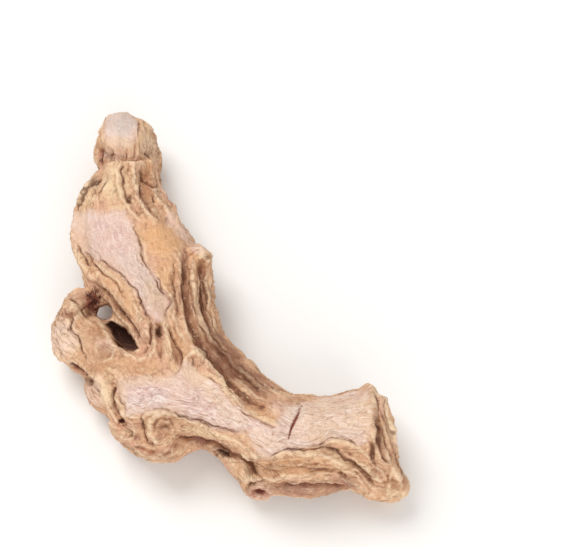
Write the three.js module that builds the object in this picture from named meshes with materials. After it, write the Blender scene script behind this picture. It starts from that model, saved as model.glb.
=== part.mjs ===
// A dried ginger root: one piece that grew as one body, so one solid.
// It has a long arm with a knobbed bud at its far end, a thick run across the front that ends in a blunt
// torn face, a stubby side lobe with a narrow slot behind it, and leathery folds along its flanks.
// Sizes are in millimetres. The root lies on z = 0 on three low spots, +X is to the right, +Y runs away
// from the viewer and +Z is up. The origin is under the middle of its box.

import * as THREE from "three";

// Mesh fineness, how many triangles the mesh is thinned to, and how far limbs melt into each other.
const GRID_STEP = 1.04;
const BLEND = 3.2;
const FOLD_BLEND = 1.3;
const SAMPLE_STEP = 0.6;
const RELAX_ROUNDS = 2;
const TRIANGLES = 11600;
const SKIN_DEPTH = 2.6;
const REST_PRESS = 0.15;

// A limb is a spine with a flattened oval section. A station is [x, y, half width, top, bottom].
// cap is the roundness of its two ends along the spine, square the exponent of the oval (2 is an
// ellipse), and taper the share by which the section narrows towards its top.
// A fold is a crest that runs along the limb: at is its angle round the section (0 is the limb's
// right-hand side, 90 its top, 180 its left side), wave how far it wanders, start and end the share of
// the limb it covers. A negative height makes it a furrow.
const LIMBS = {
  arm: {
    cap: 4.5,
    square: 2.9,
    taper: 0.26,
    stations: [
      [-23.0, 37.0, 4.2, 14.2, 4.0],
      [-22.3, 33.8, 5.8, 15.4, 0.8],
      [-21.3, 28.8, 5.1, 14.8, 0.2],
      [-22.3, 22.4, 7.3, 16.2, 1.4],
      [-21.5, 16.1, 9.4, 17.2, 2.6],
      [-18.4, 9.0, 10.0, 17.6, 3.0],
      [-15.3, 2.1, 9.9, 17.6, 3.2],
      [-12.4, -5.1, 8.8, 17.2, 3.4],
      [-9.6, -12.0, 7.8, 17.0, 3.6],
      [-7.2, -18.7, 7.2, 17.0, 3.6],
    ],
    folds: [
      { at: -2, wave: 9, turns: 2.1, phase: 0.4, start: 0.25, end: 0.8, height: 1.0, width: 1.3 },
      { at: -38, wave: 12, turns: 1.7, phase: 2.1, start: 0.1, end: 0.9, height: 1.5, width: 1.4 },
      { at: -80, wave: 12, turns: 1.4, phase: 1.0, start: 0.12, end: 0.95, height: 1.1, width: 1.5 },
      { at: -118, wave: 12, turns: 1.9, phase: 3.0, start: 0.05, end: 0.9, height: 1.2, width: 1.5 },
      { at: -154, wave: 9, turns: 1.6, phase: 4.4, start: 0.1, end: 0.95, height: 1.5, width: 1.4 },
      { at: 170, wave: 7, turns: 1.3, phase: 2.4, start: 0.12, end: 0.5, height: 1.2, width: 1.3 },
    ],
  },
  run: {
    cap: 3.4,
    square: 2.9,
    taper: 0.28,
    stations: [
      [-18.2, -20.4, 6.6, 14.4, 1.4],
      [-14.2, -22.0, 8.4, 15.8, 0.2],
      [-9.0, -22.8, 7.6, 16.6, 2.0],
      [-3.4, -23.5, 6.5, 17.0, 3.8],
      [2.3, -26.0, 7.5, 17.0, 3.8],
      [8.0, -29.2, 8.4, 16.8, 2.8],
      [13.7, -30.2, 8.3, 16.6, 2.2],
      [20.3, -29.6, 7.8, 16.4, 1.2],
      [26.0, -28.8, 8.9, 16.4, 0.2],
      [29.6, -29.4, 9.4, 15.8, 0.2],
    ],
    folds: [
      { at: -40, wave: 8, turns: 1.7, phase: 0.2, start: 0.0, end: 0.98, height: 1.2, width: 1.4 },
      { at: -84, wave: 12, turns: 2.0, phase: 2.6, start: 0.0, end: 0.95, height: 1.1, width: 1.5 },
      { at: -126, wave: 11, turns: 1.5, phase: 5.0, start: 0.05, end: 0.98, height: 1.3, width: 1.5 },
      { at: -164, wave: 8, turns: 1.8, phase: 1.9, start: 0.3, end: 1.0, height: 1.5, width: 1.4 },
      { at: 166, wave: 5, turns: 1.2, phase: 0.9, start: 0.6, end: 1.0, height: 1.0, width: 1.2 },
    ],
  },
  lobe: {
    cap: 3.6,
    square: 2.5,
    taper: 0.2,
    stations: [
      [-16.6, -18.8, 6.0, 14.6, 2.4],
      [-22.4, -13.6, 5.6, 13.4, 2.6],
      [-26.8, -9.3, 5.7, 12.8, 2.0],
      [-30.0, -6.4, 5.1, 11.8, 2.4],
    ],
    folds: [
      { at: -12, wave: 9, turns: 1.2, phase: 0.6, start: 0.0, end: 0.9, height: 1.0, width: 1.1 },
      { at: -62, wave: 10, turns: 1.1, phase: 2.0, start: 0.0, end: 0.9, height: 1.1, width: 1.3 },
      { at: -120, wave: 10, turns: 1.3, phase: 3.3, start: 0.0, end: 0.9, height: 1.1, width: 1.3 },
    ],
  },
  // The low shelf of shrunken skin along the inside of the bend.
  shelf: {
    cap: 2.0,
    square: 2.2,
    taper: 0.0,
    stations: [
      [-6.0, 8.2, 1.9, 13.2, 5.0],
      [-6.3, 2.6, 2.2, 12.8, 4.6],
      [-5.6, -2.8, 2.3, 12.6, 4.6],
      [-4.0, -7.8, 2.4, 12.4, 4.6],
      [-1.3, -11.6, 2.5, 12.4, 4.6],
      [1.8, -15.3, 2.6, 12.2, 4.6],
      [5.3, -18.7, 2.5, 12.0, 4.6],
      [9.4, -21.2, 2.0, 11.6, 5.0],
      [14.0, -22.6, 1.4, 11.0, 5.4],
    ],
    folds: [],
  },
};

// Knobs are ellipsoids: centre, then half sizes.
const KNOBS = {
  budCap: { at: [-22.7, 34.8, 11.0], half: [4.1, 3.9, 5.2] },
  shoulderKnob: { at: [-5.4, 7.6, 12.2], half: [1.7, 1.3, 1.9] },
  frontBoss: { at: [-13.0, -29.1, 8.4], half: [4.4, 4.2, 5.4] },
  cornerBoss: { at: [-18.6, -26.0, 7.4], half: [3.8, 3.3, 5.0] },
  lowerFlank: { at: [-23.4, -18.2, 6.4], half: [4.6, 4.4, 5.4] },
  scarStub: { at: [5.6, -36.4, 4.4], half: [2.8, 2.8, 2.7] },
  lobeTip: { at: [-27.7, -1.2, 7.8], half: [2.8, 2.5, 3.4] },
  endFoot: { at: [31.0, -37.0, 4.2], half: [3.2, 2.9, 4.2] },
};

// The right-hand end is torn off along a plane: its outward direction and how far out it lies.
const TORN_END = { outward: new THREE.Vector3(0.955, 0.298, 0), reach: 21.2, rounding: 1.6 };

// Slots are channels cut out along a line. These are the hole and the narrow slot behind the lobe.
const SLOTS = [
  { radius: 1.8, line: [[-26.2, 2.2, -3], [-25.2, -1.3, 5], [-24.5, -3.5, 10], [-23.9, -5.7, 15], [-23.4, -7.5, 19]] },
  { radius: 1.1, line: [[-22.6, -7.4, 11.4], [-20.2, -10.2, 11.4]] },
  { radius: 1.4, line: [[-24.0, -5.2, 12.8], [-22.2, -8.0, 12.8], [-19.4, -11.2, 13.0]] },
  { radius: 1.8, line: [[-23.7, -6.2, 15], [-22.0, -9.0, 15], [-18.8, -12.4, 15.6]] },
];

// Creases are crests (height above 0) and furrows (below 0). Each line is drawn as it looks from in front
// or, with an eye of its own, from below: its points stand at height z and slide along the line of sight
// until they meet the skin.
const VIEWER = new THREE.Vector3(11.5, -129.5, 298.5);
const BELOW = new THREE.Vector3(0, 0, -400);
const CREASES = [
  { name: "shelf furrow", height: -1.4, width: 1.2, z: 13, line: [[-9, 7.5], [-9, -1], [-8, -5.5], [-6.5, -10],
    [-4.5, -13], [-2.5, -16], [0.5, -20], [3, -22.5], [6.5, -24]] },
  { name: "shelf crest, inner", height: 1.3, width: 1.05, z: 13, line: [[-7.5, 6], [-7.5, 2.5], [-7, -4], [-5.5, -8],
    [-2.5, -11.5], [0.5, -15], [4, -18.5], [7, -21], [10.5, -23]] },
  { name: "furrow along the shelf", height: -0.9, width: 0.95, z: 12, line: [[-6, 5.5], [-6, 0.5], [-5.5, -4],
    [-4, -8.5], [-1.5, -12], [2, -15.5], [5.5, -18.5], [8.5, -21]] },
  { name: "shelf crest, outer", height: 1.2, width: 1.05, z: 11, line: [[-4.5, 7.5], [-5, 1.5], [-4.5, -4], [-3, -9],
    [0, -13], [3, -16.5], [7, -19.5]] },
  { name: "rim of the arm", height: 0.9, width: 1.05, z: 16, line: [[-9.5, 6.5], [-9.5, 3], [-9.5, -1.5], [-9, -5.5],
    [-8, -9.5], [-6.5, -13.5]] },
  { name: "skin flap, left", height: 1.0, width: 1.05, z: 17, line: [[-6, -15], [-7.5, -16.5], [-8.5, -18.5]] },
  { name: "skin flap, right", height: 1.1, width: 1.15, z: 17, line: [[-6, -15], [-4.5, -17.5], [-2, -20],
    [-0.5, -23.5], [3, -26.5], [6, -28], [9.5, -29.5]] },
  { name: "skin edge below the front face", height: 1.1, width: 1.15, z: 15, line: [[-23.5, -19.5], [-22, -22.5],
    [-20, -25], [-17.5, -26.5], [-16, -27], [-14, -26], [-10.5, -25.5], [-7, -27.5], [-4, -29], [-0.5, -31],
    [3, -32.5], [5.5, -34]] },
  { name: "upper wall fold", height: 1.4, width: 1.2, z: 13, line: [[3.5, -33.5], [6.5, -34], [10.5, -33.5],
    [14, -33.5], [18, -34], [20.5, -35], [23.5, -37], [26, -39.5], [29, -41.5]] },
  { name: "hollow of the wall", height: -0.8, width: 1.5, z: 11, line: [[4, -35], [8, -35], [11, -35], [14.5, -35.5],
    [19, -35.5], [22, -37]] },
  { name: "lower wall fold", height: 1.3, width: 1.15, z: 8, line: [[4, -36.5], [8, -36.5], [11, -36], [14.5, -36.5],
    [19, -36.5], [22.5, -37], [25, -38], [27, -39.5]] },
  { name: "recess under the wall fold", height: -1.4, width: 1.2, z: 5, line: [[8.5, -37], [12, -37], [16, -37],
    [20.5, -37], [23.5, -37.5]] },
  { name: "slanting fold", height: 1.0, width: 1.15, z: 15, line: [[17.5, -31.5], [21, -31.5], [24, -33], [26, -36],
    [28, -38.5], [30, -40.5]] },
  { name: "furrow by the slanting fold", height: -0.7, width: 1.05, z: 14, line: [[19, -33], [22, -33.5], [24, -36],
    [26.5, -38.5]] },
  { name: "end rim", height: 1.1, width: 1.15, z: 14, line: [[28.5, -20.5], [29.5, -23.5], [30, -29], [31, -34],
    [32.5, -38.5], [33, -41]] },
  { name: "inner end crest", height: 1.2, width: 1.15, z: 16, line: [[26.5, -21.5], [27, -26.5], [27, -30], [28, -33],
    [29.5, -35.5], [30.5, -37.5], [29.5, -41.5]] },
  { name: "end furrow", height: -1.5, width: 1.05, z: 15, line: [[28, -23], [28.5, -27.5], [29, -30.5], [30, -34],
    [31, -35.5]] },
  { name: "split ridge of the foot", height: 0.8, width: 1.05, z: 8, line: [[31, -35], [32, -37], [32.5, -39.5]] },
  { name: "corner strip", height: 1.0, width: 1.15, z: 14, line: [[-24, -18.5], [-23, -21.5], [-22, -25], [-21, -28]] },
  { name: "furrow by the corner strip", height: -1.0, width: 1.05, z: 14, line: [[-22.5, -19.5], [-21.5, -22.5],
    [-20.5, -25.5], [-19.5, -28]] },
  { name: "ring of the boss", height: 0.9, width: 1.05, z: 12, line: [[-14.5, -27], [-13.5, -25.5], [-11.5, -25.5],
    [-10, -27], [-10, -29], [-11, -31], [-13, -31], [-14.5, -29], [-14.5, -27]] },
  { name: "hollow between the bosses", height: -1.1, width: 1.05, z: 12, line: [[-16, -26], [-16, -28], [-15, -30.5],
    [-14, -32.5]] },
  { name: "recess under the skin edge", height: -1.7, width: 1.3, z: 9, line: [[-9.5, -29.5], [-7, -29], [-4.5, -29.5],
    [-2.5, -30.5], [0.5, -32], [2.5, -34]] },
  { name: "hollow behind the stub", height: -1.3, width: 1.2, z: 9, line: [[3, -33], [3.5, -35], [4, -35.5]] },
  { name: "slot rim on the lobe", height: 0.7, width: 1.05, z: 12, line: [[-25.5, -5], [-24.5, -8], [-22.5, -11],
    [-20, -13.5], [-17, -14.5], [-15, -13.5]] },
  { name: "lobe boss", height: 0.8, width: 1.05, z: 12, line: [[-25.5, -12], [-24.5, -10.5], [-23, -11],
    [-22.5, -13], [-24, -13.5], [-25.5, -12]] },
  { name: "lobe crest", height: 0.9, width: 1.05, z: 12, line: [[-27, -2], [-29, -3.5], [-30.5, -6], [-31.5, -8.5],
    [-31.5, -11.5], [-30, -14]] },
  { name: "furrow beside the lobe crest", height: -0.8, width: 1.05, z: 12, line: [[-27, -4], [-28.5, -6],
    [-29.5, -8.5], [-29.5, -11.5]] },
  { name: "lobe underfold", height: 1.0, width: 1.15, z: 8, line: [[-33.5, -10.5], [-32, -12.5], [-29, -15], [-26, -18]] },
  { name: "gap under the lobe", height: -1.7, width: 1.2, z: 6, line: [[-31.5, -13.5], [-29.5, -15], [-27.5, -17],
    [-26, -19]] },
  { name: "neck collar", height: 0.9, width: 1.05, z: 13, line: [[-27, 29], [-25, 27.5], [-22.5, 27.5], [-19.5, 27.5],
    [-16.5, 28], [-15, 29.5]] },
  { name: "neck furrow", height: -1.2, width: 1.15, z: 13, line: [[-27, 31], [-25, 29], [-22.5, 28.5], [-19.5, 29],
    [-16.5, 30], [-15.5, 31]] },
  { name: "neck ridge, left", height: 0.8, width: 1.05, z: 13, line: [[-24.5, 27], [-24.5, 23.5], [-26, 20.5]] },
  { name: "neck ridge, middle", height: 1.0, width: 1.05, z: 13, line: [[-22.5, 27.5], [-22, 24], [-21, 21], [-19, 18],
    [-17, 15.5], [-15, 13.5]] },
  { name: "neck ridge, right", height: 1.1, width: 1.05, z: 13, line: [[-20, 27.5], [-20, 24], [-19.5, 21], [-17, 18],
    [-14.5, 15]] },
  { name: "furrow between the neck ridges", height: -0.9, width: 0.95, z: 13, line: [[-21, 26.5], [-21, 23], [-20, 20],
    [-18, 17]] },
  { name: "neck ridge, far right", height: 0.9, width: 1.05, z: 13, line: [[-16.5, 27.5], [-16.5, 24.5], [-16, 21],
    [-14, 17.5], [-11.5, 14.5]] },
  { name: "neck dent", height: -1.0, width: 1.2, z: 14, line: [[-18, 24.5], [-18, 21.5], [-17, 19]] },
  { name: "frilled skin edge", height: 1.2, width: 1.05, z: 12, line: [[-28, 23.5], [-29.5, 20.5],
    [-31, 17.5], [-31, 13.5], [-30.5, 10], [-29, 6.5], [-27, 3.5]] },
  { name: "furrow inside the frill", height: -0.8, width: 0.95, z: 13, line: [[-27, 23], [-28.5, 20.5], [-29.5, 17],
    [-29.5, 13], [-29, 9.5], [-27.5, 6.5]] },
  { name: "pale ledge", height: 0.8, width: 1.05, z: 12, line: [[-13.5, 17], [-11.5, 15], [-9, 12], [-6.5, 9]] },
  { name: "arm foot furrow", height: -1.0, width: 1.05, z: 13, line: [[-26, 0], [-23, -3], [-20, -6], [-18, -9]] },
  { name: "arm foot fold", height: 0.9, width: 1.05, z: 15, line: [[-25, 2], [-22.5, -1], [-19.5, -4], [-17, -7],
    [-15, -10]] },
  { name: "arm foot furrow, inner", height: -0.8, width: 1.05, z: 16, line: [[-20.5, -1.5], [-18, -4], [-15.5, -7.5],
    [-13.5, -11]] },
  { name: "joint furrow, left", height: -1.1, width: 1.05, z: 17, line: [[-14.5, -9.5], [-15, -11.5], [-15.5, -14]] },
  { name: "joint furrow, middle", height: -1.1, width: 1.05, z: 17, line: [[-13, -9.5], [-13, -12], [-13, -15]] },
  { name: "joint fold", height: 0.9, width: 1.05, z: 17, line: [[-12, -8.5], [-11.5, -11.5], [-11, -15]] },
  { name: "joint furrow, right", height: -1.1, width: 1.05, z: 17, line: [[-10.5, -10.5], [-10, -13.5], [-9.5, -16]] },
  { name: "fold round the front boss", height: 1.0, width: 1.05, z: 7, line: [[-21.5, -26], [-19, -29], [-16, -31],
    [-12.5, -31.5], [-9.5, -30.5]] },
  { name: "furrow above that fold", height: -0.8, width: 1.05, z: 9, line: [[-20, -27], [-17.5, -29], [-15, -30],
    [-12, -30.5]] },
  { name: "furrow under the bend", height: -1.2, width: 1.3, z: 2, eye: BELOW, line: [[-17, -6], [-13, -13], [-7, -18.5],
    [1, -21.5], [8, -23]] },
  { name: "fold under the bend", height: 1.2, width: 1.3, z: 2, eye: BELOW, line: [[-20, -3], [-16.5, -11], [-9, -19.5],
    [-1, -24.5], [7, -27]] },
  { name: "fold under the arm", height: 1.0, width: 1.2, z: 2, eye: BELOW, line: [[-14, 15], [-11, 7], [-9, -1], [-7, -8]] },
  { name: "root scar under the run", height: 0.9, width: 1.0, z: 2, eye: BELOW, line: [[10, -31], [11.5, -28.5],
    [14, -29], [15, -31.5], [13, -33.5], [10.5, -33], [10, -31]] },
  { name: "root scar under the arm", height: 0.9, width: 1.0, z: 2, eye: BELOW, line: [[-20.5, 10], [-19.5, 12.5],
    [-17, 12], [-16, 9.5], [-18, 8], [-20, 8.5], [-20.5, 10]] },
  { name: "rim of the bud", height: 0.6, width: 1.05, z: 12, line: [[-26.5, 37], [-26, 34.5], [-24, 32.5], [-22, 32],
    [-20, 33.5], [-19, 36.5]] },
];

// A dimple is a round hollow: the scar's hole, pits by the bosses, and the dished face of the torn end.
// Those with onSkin slide along the line of sight onto the skin, as creases do.
const DIMPLES = [
  { at: [5.7, -38.0, 4], radius: 1.2, depth: 1.7, onSkin: true },
  { at: [-20.4, -26.8, 11], radius: 1.0, depth: 1.1, onSkin: true },
  { at: [-1.2, -31.4, 8], radius: 1.3, depth: 1.4, onSkin: true },
  { at: [31.4, -28.6, 8], radius: 5.0, depth: 1.2, onSkin: false },
];

// Broad unevenness: each row is a wave's direction with its spatial rate, phase and height.
const LUMPS = [
  [0.52, 0.23, 0.31, 0.4, 0.14],
  [-0.26, 0.59, 0.22, 2.2, 0.12],
  [0.83, 0.47, -0.36, 1.3, 0.1],
  [-0.52, 0.88, 0.41, 5.2, 0.1],
];

const FAR_AWAY = 60;
const DEGREES = Math.PI / 180;
const length3 = (x, y, z) => Math.sqrt(x * x + y * y + z * z);

// Samples a limb's spine closely: each sample has its centre, heading, half sizes and share of the way.
function sampleLimb(limb) {
  const middle = limb.stations.map(([x, y, , top, bottom]) => new THREE.Vector3(x, y, (top + bottom) / 2));
  const halves = limb.stations.map(([, , wide, top, bottom]) => new THREE.Vector3(wide, (top - bottom) / 2, 0));
  const spine = new THREE.CatmullRomCurve3(middle, false, "catmullrom");
  const sizes = new THREE.CatmullRomCurve3(halves, false, "catmullrom");
  const count = Math.ceil(spine.getLength() / SAMPLE_STEP);
  return Array.from({ length: count + 1 }, (_, i) => {
    const share = i / count;
    const centre = spine.getPoint(share);
    const size = sizes.getPoint(share);
    const heading = spine.getTangent(share).setZ(0).normalize();
    return { centre, heading, wide: size.x, tall: size.y, farthest: 1.25 * Math.max(size.x, size.y, limb.cap), share };
  });
}

// Height of a limb's folds at an angle round its section.
function foldHeight(limb, sample, angle) {
  const reach = (sample.wide + sample.tall) / 2;
  return limb.folds.reduce((sum, fold) => {
    const wander = fold.wave * Math.sin(fold.turns * 2 * Math.PI * sample.share + fold.phase);
    const turn = (angle - (fold.at + wander) * DEGREES) / (2 * Math.PI);
    const across = ((turn - Math.round(turn)) * 2 * Math.PI * reach) / fold.width;
    const fadeIn = THREE.MathUtils.smoothstep(sample.share, fold.start - 0.06, fold.start + 0.06);
    const fadeOut = 1 - THREE.MathUtils.smoothstep(sample.share, fold.end - 0.06, fold.end + 0.06);
    return sum + fold.height * Math.exp(-across * across) * fadeIn * fadeOut;
  }, 0);
}

// Distance from a point to a limb's skin, below 0 inside: along the ray from the nearest section's centre.
function limbDistance(limb, point) {
  let best = FAR_AWAY;
  let bestSample = limb.samples[0];
  let bestAngle = 0;
  for (const sample of limb.samples) {
    const dx = point.x - sample.centre.x;
    const dy = point.y - sample.centre.y;
    const dz = point.z - sample.centre.z;
    const reach = length3(dx, dy, dz);
    if (reach - sample.farthest > best) continue;
    const along = (dx * sample.heading.x + dy * sample.heading.y) / limb.cap;
    const up = dz / sample.tall;
    const narrowing = 1 - limb.taper * Math.max(0, Math.min(1, up)) + 0.12 * limb.taper;
    const side = (dx * sample.heading.y - dy * sample.heading.x) / (sample.wide * narrowing);
    const oval = Math.pow(Math.abs(side), limb.square) + Math.pow(Math.abs(up), limb.square);
    const scaled = Math.sqrt(along * along + Math.pow(oval, 2 / limb.square));
    const distance = reach * (1 - 1 / Math.max(scaled, 1e-3));
    if (distance < best) {
      best = distance;
      bestSample = sample;
      bestAngle = Math.atan2(up, side);
    }
  }
  return best - (Math.abs(best) < SKIN_DEPTH + BLEND ? foldHeight(limb, bestSample, bestAngle) : 0);
}

function knobDistance(knob, point) {
  const [dx, dy, dz] = [point.x - knob.at[0], point.y - knob.at[1], point.z - knob.at[2]];
  const scaled = length3(dx / knob.half[0], dy / knob.half[1], dz / knob.half[2]);
  return length3(dx, dy, dz) * (1 - 1 / Math.max(scaled, 1e-3));
}

// Joins two distances so that the bodies melt together over a given width.
function melt(a, b, width) {
  const share = Math.max(0, width - Math.abs(a - b)) / width;
  return Math.min(a, b) - (share * share * width) / 4;
}

// A crease works along the skin only, so the distance across it leaves out the height above the skin.
function creaseHeight(point, distance) {
  return CREASES.reduce((sum, crease) => {
    if (crease.hull.distanceToPoint(point) > 3 * crease.width) return sum;
    let nearest = Infinity;
    for (const spot of crease.spots) nearest = Math.min(nearest, spot.distanceToSquared(point));
    const across = Math.max(0, nearest - distance * distance);
    return sum + crease.height * Math.exp(-across / (crease.width * crease.width));
  }, 0);
}

function lumpHeight(point) {
  return LUMPS.reduce(
    (sum, [x, y, z, phase, height]) => sum + height * Math.sin(x * point.x + y * point.y + z * point.z + phase),
    0,
  );
}

function dimpleDepth(point) {
  return DIMPLES.reduce((sum, { at, radius, depth }) => {
    const away = length3(point.x - at[0], point.y - at[1], point.z - at[2]) / radius;
    return sum + depth * Math.exp(-away * away);
  }, 0);
}

// The root without its creases: below 0 inside.
function bodyDistance(point) {
  const { arm, run, lobe, shelf } = LIMBS;
  const beyondEnd = point.dot(TORN_END.outward) - TORN_END.reach;
  const tornRun = -melt(-limbDistance(run, point), -beyondEnd, TORN_END.rounding);
  let distance = melt(limbDistance(arm, point), tornRun, BLEND);
  distance = melt(distance, limbDistance(lobe, point), BLEND);
  distance = melt(distance, limbDistance(shelf, point), FOLD_BLEND);
  for (const knob of Object.values(KNOBS)) distance = melt(distance, knobDistance(knob, point), 2 * FOLD_BLEND);
  for (const slot of SLOTS) {
    if (slot.hull.distanceToPoint(point) > slot.radius + SKIN_DEPTH) continue;
    const nearest = Math.min(...slot.spots.map((spot) => spot.distanceTo(point)));
    distance = -melt(-distance, nearest - slot.radius, FOLD_BLEND);
  }
  return distance;
}

// The whole root as one distance field: below 0 inside.
function rootDistance(point) {
  const distance = bodyDistance(point);
  if (Math.abs(distance) > SKIN_DEPTH) return distance;
  return distance - creaseHeight(point, distance) - lumpHeight(point) + dimpleDepth(point);
}

// Slides a point along the line of sight onto the skin; one that never meets it stays where it is.
function settle(point, eye = VIEWER) {
  const sight = eye.clone().sub(point).normalize();
  const probe = new THREE.Vector3();
  for (let out = 10; out > -10; out -= 0.2)
    if (bodyDistance(probe.copy(point).addScaledVector(sight, out)) < 0) return probe;
  return point;
}

// Gives a line evenly spaced spots along a smooth curve through its points.
function spread(line) {
  const curve = new THREE.CatmullRomCurve3(line);
  return curve.getSpacedPoints(Math.ceil(curve.getLength() / SAMPLE_STEP));
}

// Rounds off jumps in a row of spots, where the line of sight just grazes the skin.
function evenOut(spots) {
  for (let round = 0; round < 3; round++)
    for (let n = 1; n < spots.length - 1; n++) spots[n].lerp(spots[n - 1].clone().lerp(spots[n + 1], 0.5), 0.5);
  return spots;
}

for (const limb of Object.values(LIMBS)) limb.samples = sampleLimb(limb);
for (const slot of SLOTS) {
  slot.spots = spread(slot.line.map((place) => new THREE.Vector3(...place)));
  slot.hull = new THREE.Box3().setFromPoints(slot.spots);
}
for (const crease of CREASES) {
  const drawn = spread(crease.line.map(([x, y]) => new THREE.Vector3(x, y, crease.z)));
  crease.spots = evenOut(drawn.map((point) => settle(point, crease.eye)));
  crease.hull = new THREE.Box3().setFromPoints(crease.spots);
}
for (const dimple of DIMPLES) if (dimple.onSkin) dimple.at = settle(new THREE.Vector3(...dimple.at)).toArray();

const CORNERS = [0, 1, 2, 3, 4, 5, 6, 7].map((c) => [c & 1, (c >> 1) & 1, (c >> 2) & 1]);
const EDGES = CORNERS.flatMap((_, a) => [1, 2, 4].filter((bit) => !(a & bit)).map((bit) => [a, a | bit]));

// True if a cell's chosen corners, a bit for each, all hang together along the cell's edges.
function hangsTogether(mask) {
  const first = CORNERS.findIndex((_, c) => mask & (1 << c));
  if (first < 0) return true;
  let reached = 1 << first;
  for (let round = 0; round < 4; round++)
    for (const [a, b] of EDGES)
      if (mask & (1 << a) && mask & (1 << b) && reached & ((1 << a) | (1 << b))) reached |= (1 << a) | (1 << b);
  return reached === mask;
}
const SIMPLE = Array.from({ length: 256 }, (_, mask) => hangsTogether(mask) && hangsTogether(255 - mask));

// Fills the outside corners of cells where two sheets of the skin would meet, until every cell holds one sheet.
function fillPinches(values, index, [nx, ny, nz]) {
  for (let changed = true; changed; ) {
    changed = false;
    for (let k = 0; k < nz - 1; k++)
      for (let j = 0; j < ny - 1; j++)
        for (let i = 0; i < nx - 1; i++) {
          const at = CORNERS.map(([a, b, c]) => index(i + a, j + b, k + c));
          const mask = at.reduce((bits, n, c) => bits | (values[n] < 0 ? 1 << c : 0), 0);
          if (SIMPLE[mask]) continue;
          const nearest = at.filter((n) => values[n] >= 0).sort((a, b) => values[a] - values[b])[0];
          values[nearest] = -0.05;
          changed = true;
        }
  }
}

// Surface nets: one vertex in each grid cell that the surface crosses, at the middle of its crossings,
// and one quad round each grid edge that it crosses. Blocks of the grid far outside the root are skipped.
function surfaceNet(distanceAt, box, step) {
  const size = box.getSize(new THREE.Vector3()).divideScalar(step).ceil();
  const [nx, ny, nz] = [size.x + 1, size.y + 1, size.z + 1];
  const index = (i, j, k) => i + nx * (j + ny * k);
  const values = new Float64Array(nx * ny * nz).fill(FAR_AWAY);
  const point = new THREE.Vector3();
  const spot = (i, j, k) => point.set(i, j, k).multiplyScalar(step).add(box.min);
  const block = 4;
  for (let k = 0; k < nz; k += block)
    for (let j = 0; j < ny; j += block)
      for (let i = 0; i < nx; i += block) {
        if (distanceAt(spot(i + block / 2, j + block / 2, k + block / 2)) > 2 * block * step) continue;
        for (let c = k; c < Math.min(k + block, nz); c++)
          for (let b = j; b < Math.min(j + block, ny); b++)
            for (let a = i; a < Math.min(i + block, nx); a++) values[index(a, b, c)] = distanceAt(spot(a, b, c));
      }
  fillPinches(values, index, [nx, ny, nz]);

  const vertices = [];
  const cells = new Map();
  for (let k = 0; k < nz - 1; k++)
    for (let j = 0; j < ny - 1; j++)
      for (let i = 0; i < nx - 1; i++) {
        const middle = new THREE.Vector3();
        let crossings = 0;
        for (const [from, to] of EDGES) {
          const [a, b] = [CORNERS[from], CORNERS[to]];
          const va = values[index(i + a[0], j + a[1], k + a[2])];
          const vb = values[index(i + b[0], j + b[1], k + b[2])];
          if (va < 0 === vb < 0) continue;
          const share = va / (va - vb);
          middle.add(new THREE.Vector3(...a).lerp(new THREE.Vector3(...b), share));
          crossings += 1;
        }
        if (!crossings) continue;
        middle.divideScalar(crossings).add(new THREE.Vector3(i, j, k)).multiplyScalar(step).add(box.min);
        cells.set(index(i, j, k), vertices.length);
        vertices.push(middle);
      }

  const quads = [];
  const axes = [[1, 0, 0], [0, 1, 0], [0, 0, 1]];
  for (let k = 1; k < nz - 1; k++)
    for (let j = 1; j < ny - 1; j++)
      for (let i = 1; i < nx - 1; i++)
        axes.forEach((axis, n) => {
          const inside = values[index(i, j, k)] < 0;
          if (inside === values[index(i + axis[0], j + axis[1], k + axis[2])] < 0) return;
          const [u, v] = [axes[(n + 1) % 3], axes[(n + 2) % 3]];
          const cell = (a, b) => cells.get(index(i - a * u[0] - b * v[0], j - a * u[1] - b * v[1], k - a * u[2] - b * v[2]));
          const ring = [cell(1, 1), cell(0, 1), cell(0, 0), cell(1, 0)];
          quads.push(inside ? ring : ring.reverse());
        });
  return { vertices, quads };
}

// Each quad is split along its shorter diagonal.
function splitQuads({ vertices, quads }) {
  return quads.flatMap(([a, b, c, d]) =>
    vertices[a].distanceToSquared(vertices[c]) < vertices[b].distanceToSquared(vertices[d])
      ? [[a, b, c], [a, c, d]]
      : [[a, b, d], [b, c, d]],
  );
}

function gradientAt(distanceAt, point) {
  const reach = 0.05;
  const probe = new THREE.Vector3();
  const slope = ["x", "y", "z"].map((axis) => {
    probe.copy(point);
    probe[axis] += reach;
    const ahead = distanceAt(probe);
    probe[axis] -= 2 * reach;
    return (ahead - distanceAt(probe)) / (2 * reach);
  });
  return new THREE.Vector3(...slope);
}

// Evens out the triangles: each vertex slides towards the middle of its neighbours, then back onto the skin.
function relax(distanceAt, vertices, quads, rounds) {
  const neighbours = vertices.map(() => new Set());
  for (const quad of quads)
    quad.forEach((v, n) => {
      neighbours[v].add(quad[(n + 1) % 4]);
      neighbours[v].add(quad[(n + 3) % 4]);
    });
  for (let round = 0; round < rounds; round++) {
    const moved = vertices.map((vertex, i) => {
      const middle = new THREE.Vector3();
      for (const n of neighbours[i]) middle.add(vertices[n]);
      const target = vertex.clone().lerp(middle.divideScalar(neighbours[i].size), 0.6);
      const slope = gradientAt(distanceAt, target);
      const back = distanceAt(target) / Math.max(slope.lengthSq(), 0.25);
      return target.addScaledVector(slope, -THREE.MathUtils.clamp(back, -0.6, 0.6));
    });
    moved.forEach((vertex, i) => vertices[i].copy(vertex));
  }
}

// The quadric of a plane through a triangle sums up squared distances to it: the ten different entries
// of a symmetric 4 x 4 matrix.
function addPlane(quadric, normal, offset, weight) {
  const plane = [normal.x, normal.y, normal.z, offset];
  let n = 0;
  for (let i = 0; i < 4; i++) for (let j = i; j < 4; j++) quadric[n++] += weight * plane[i] * plane[j];
}

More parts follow.
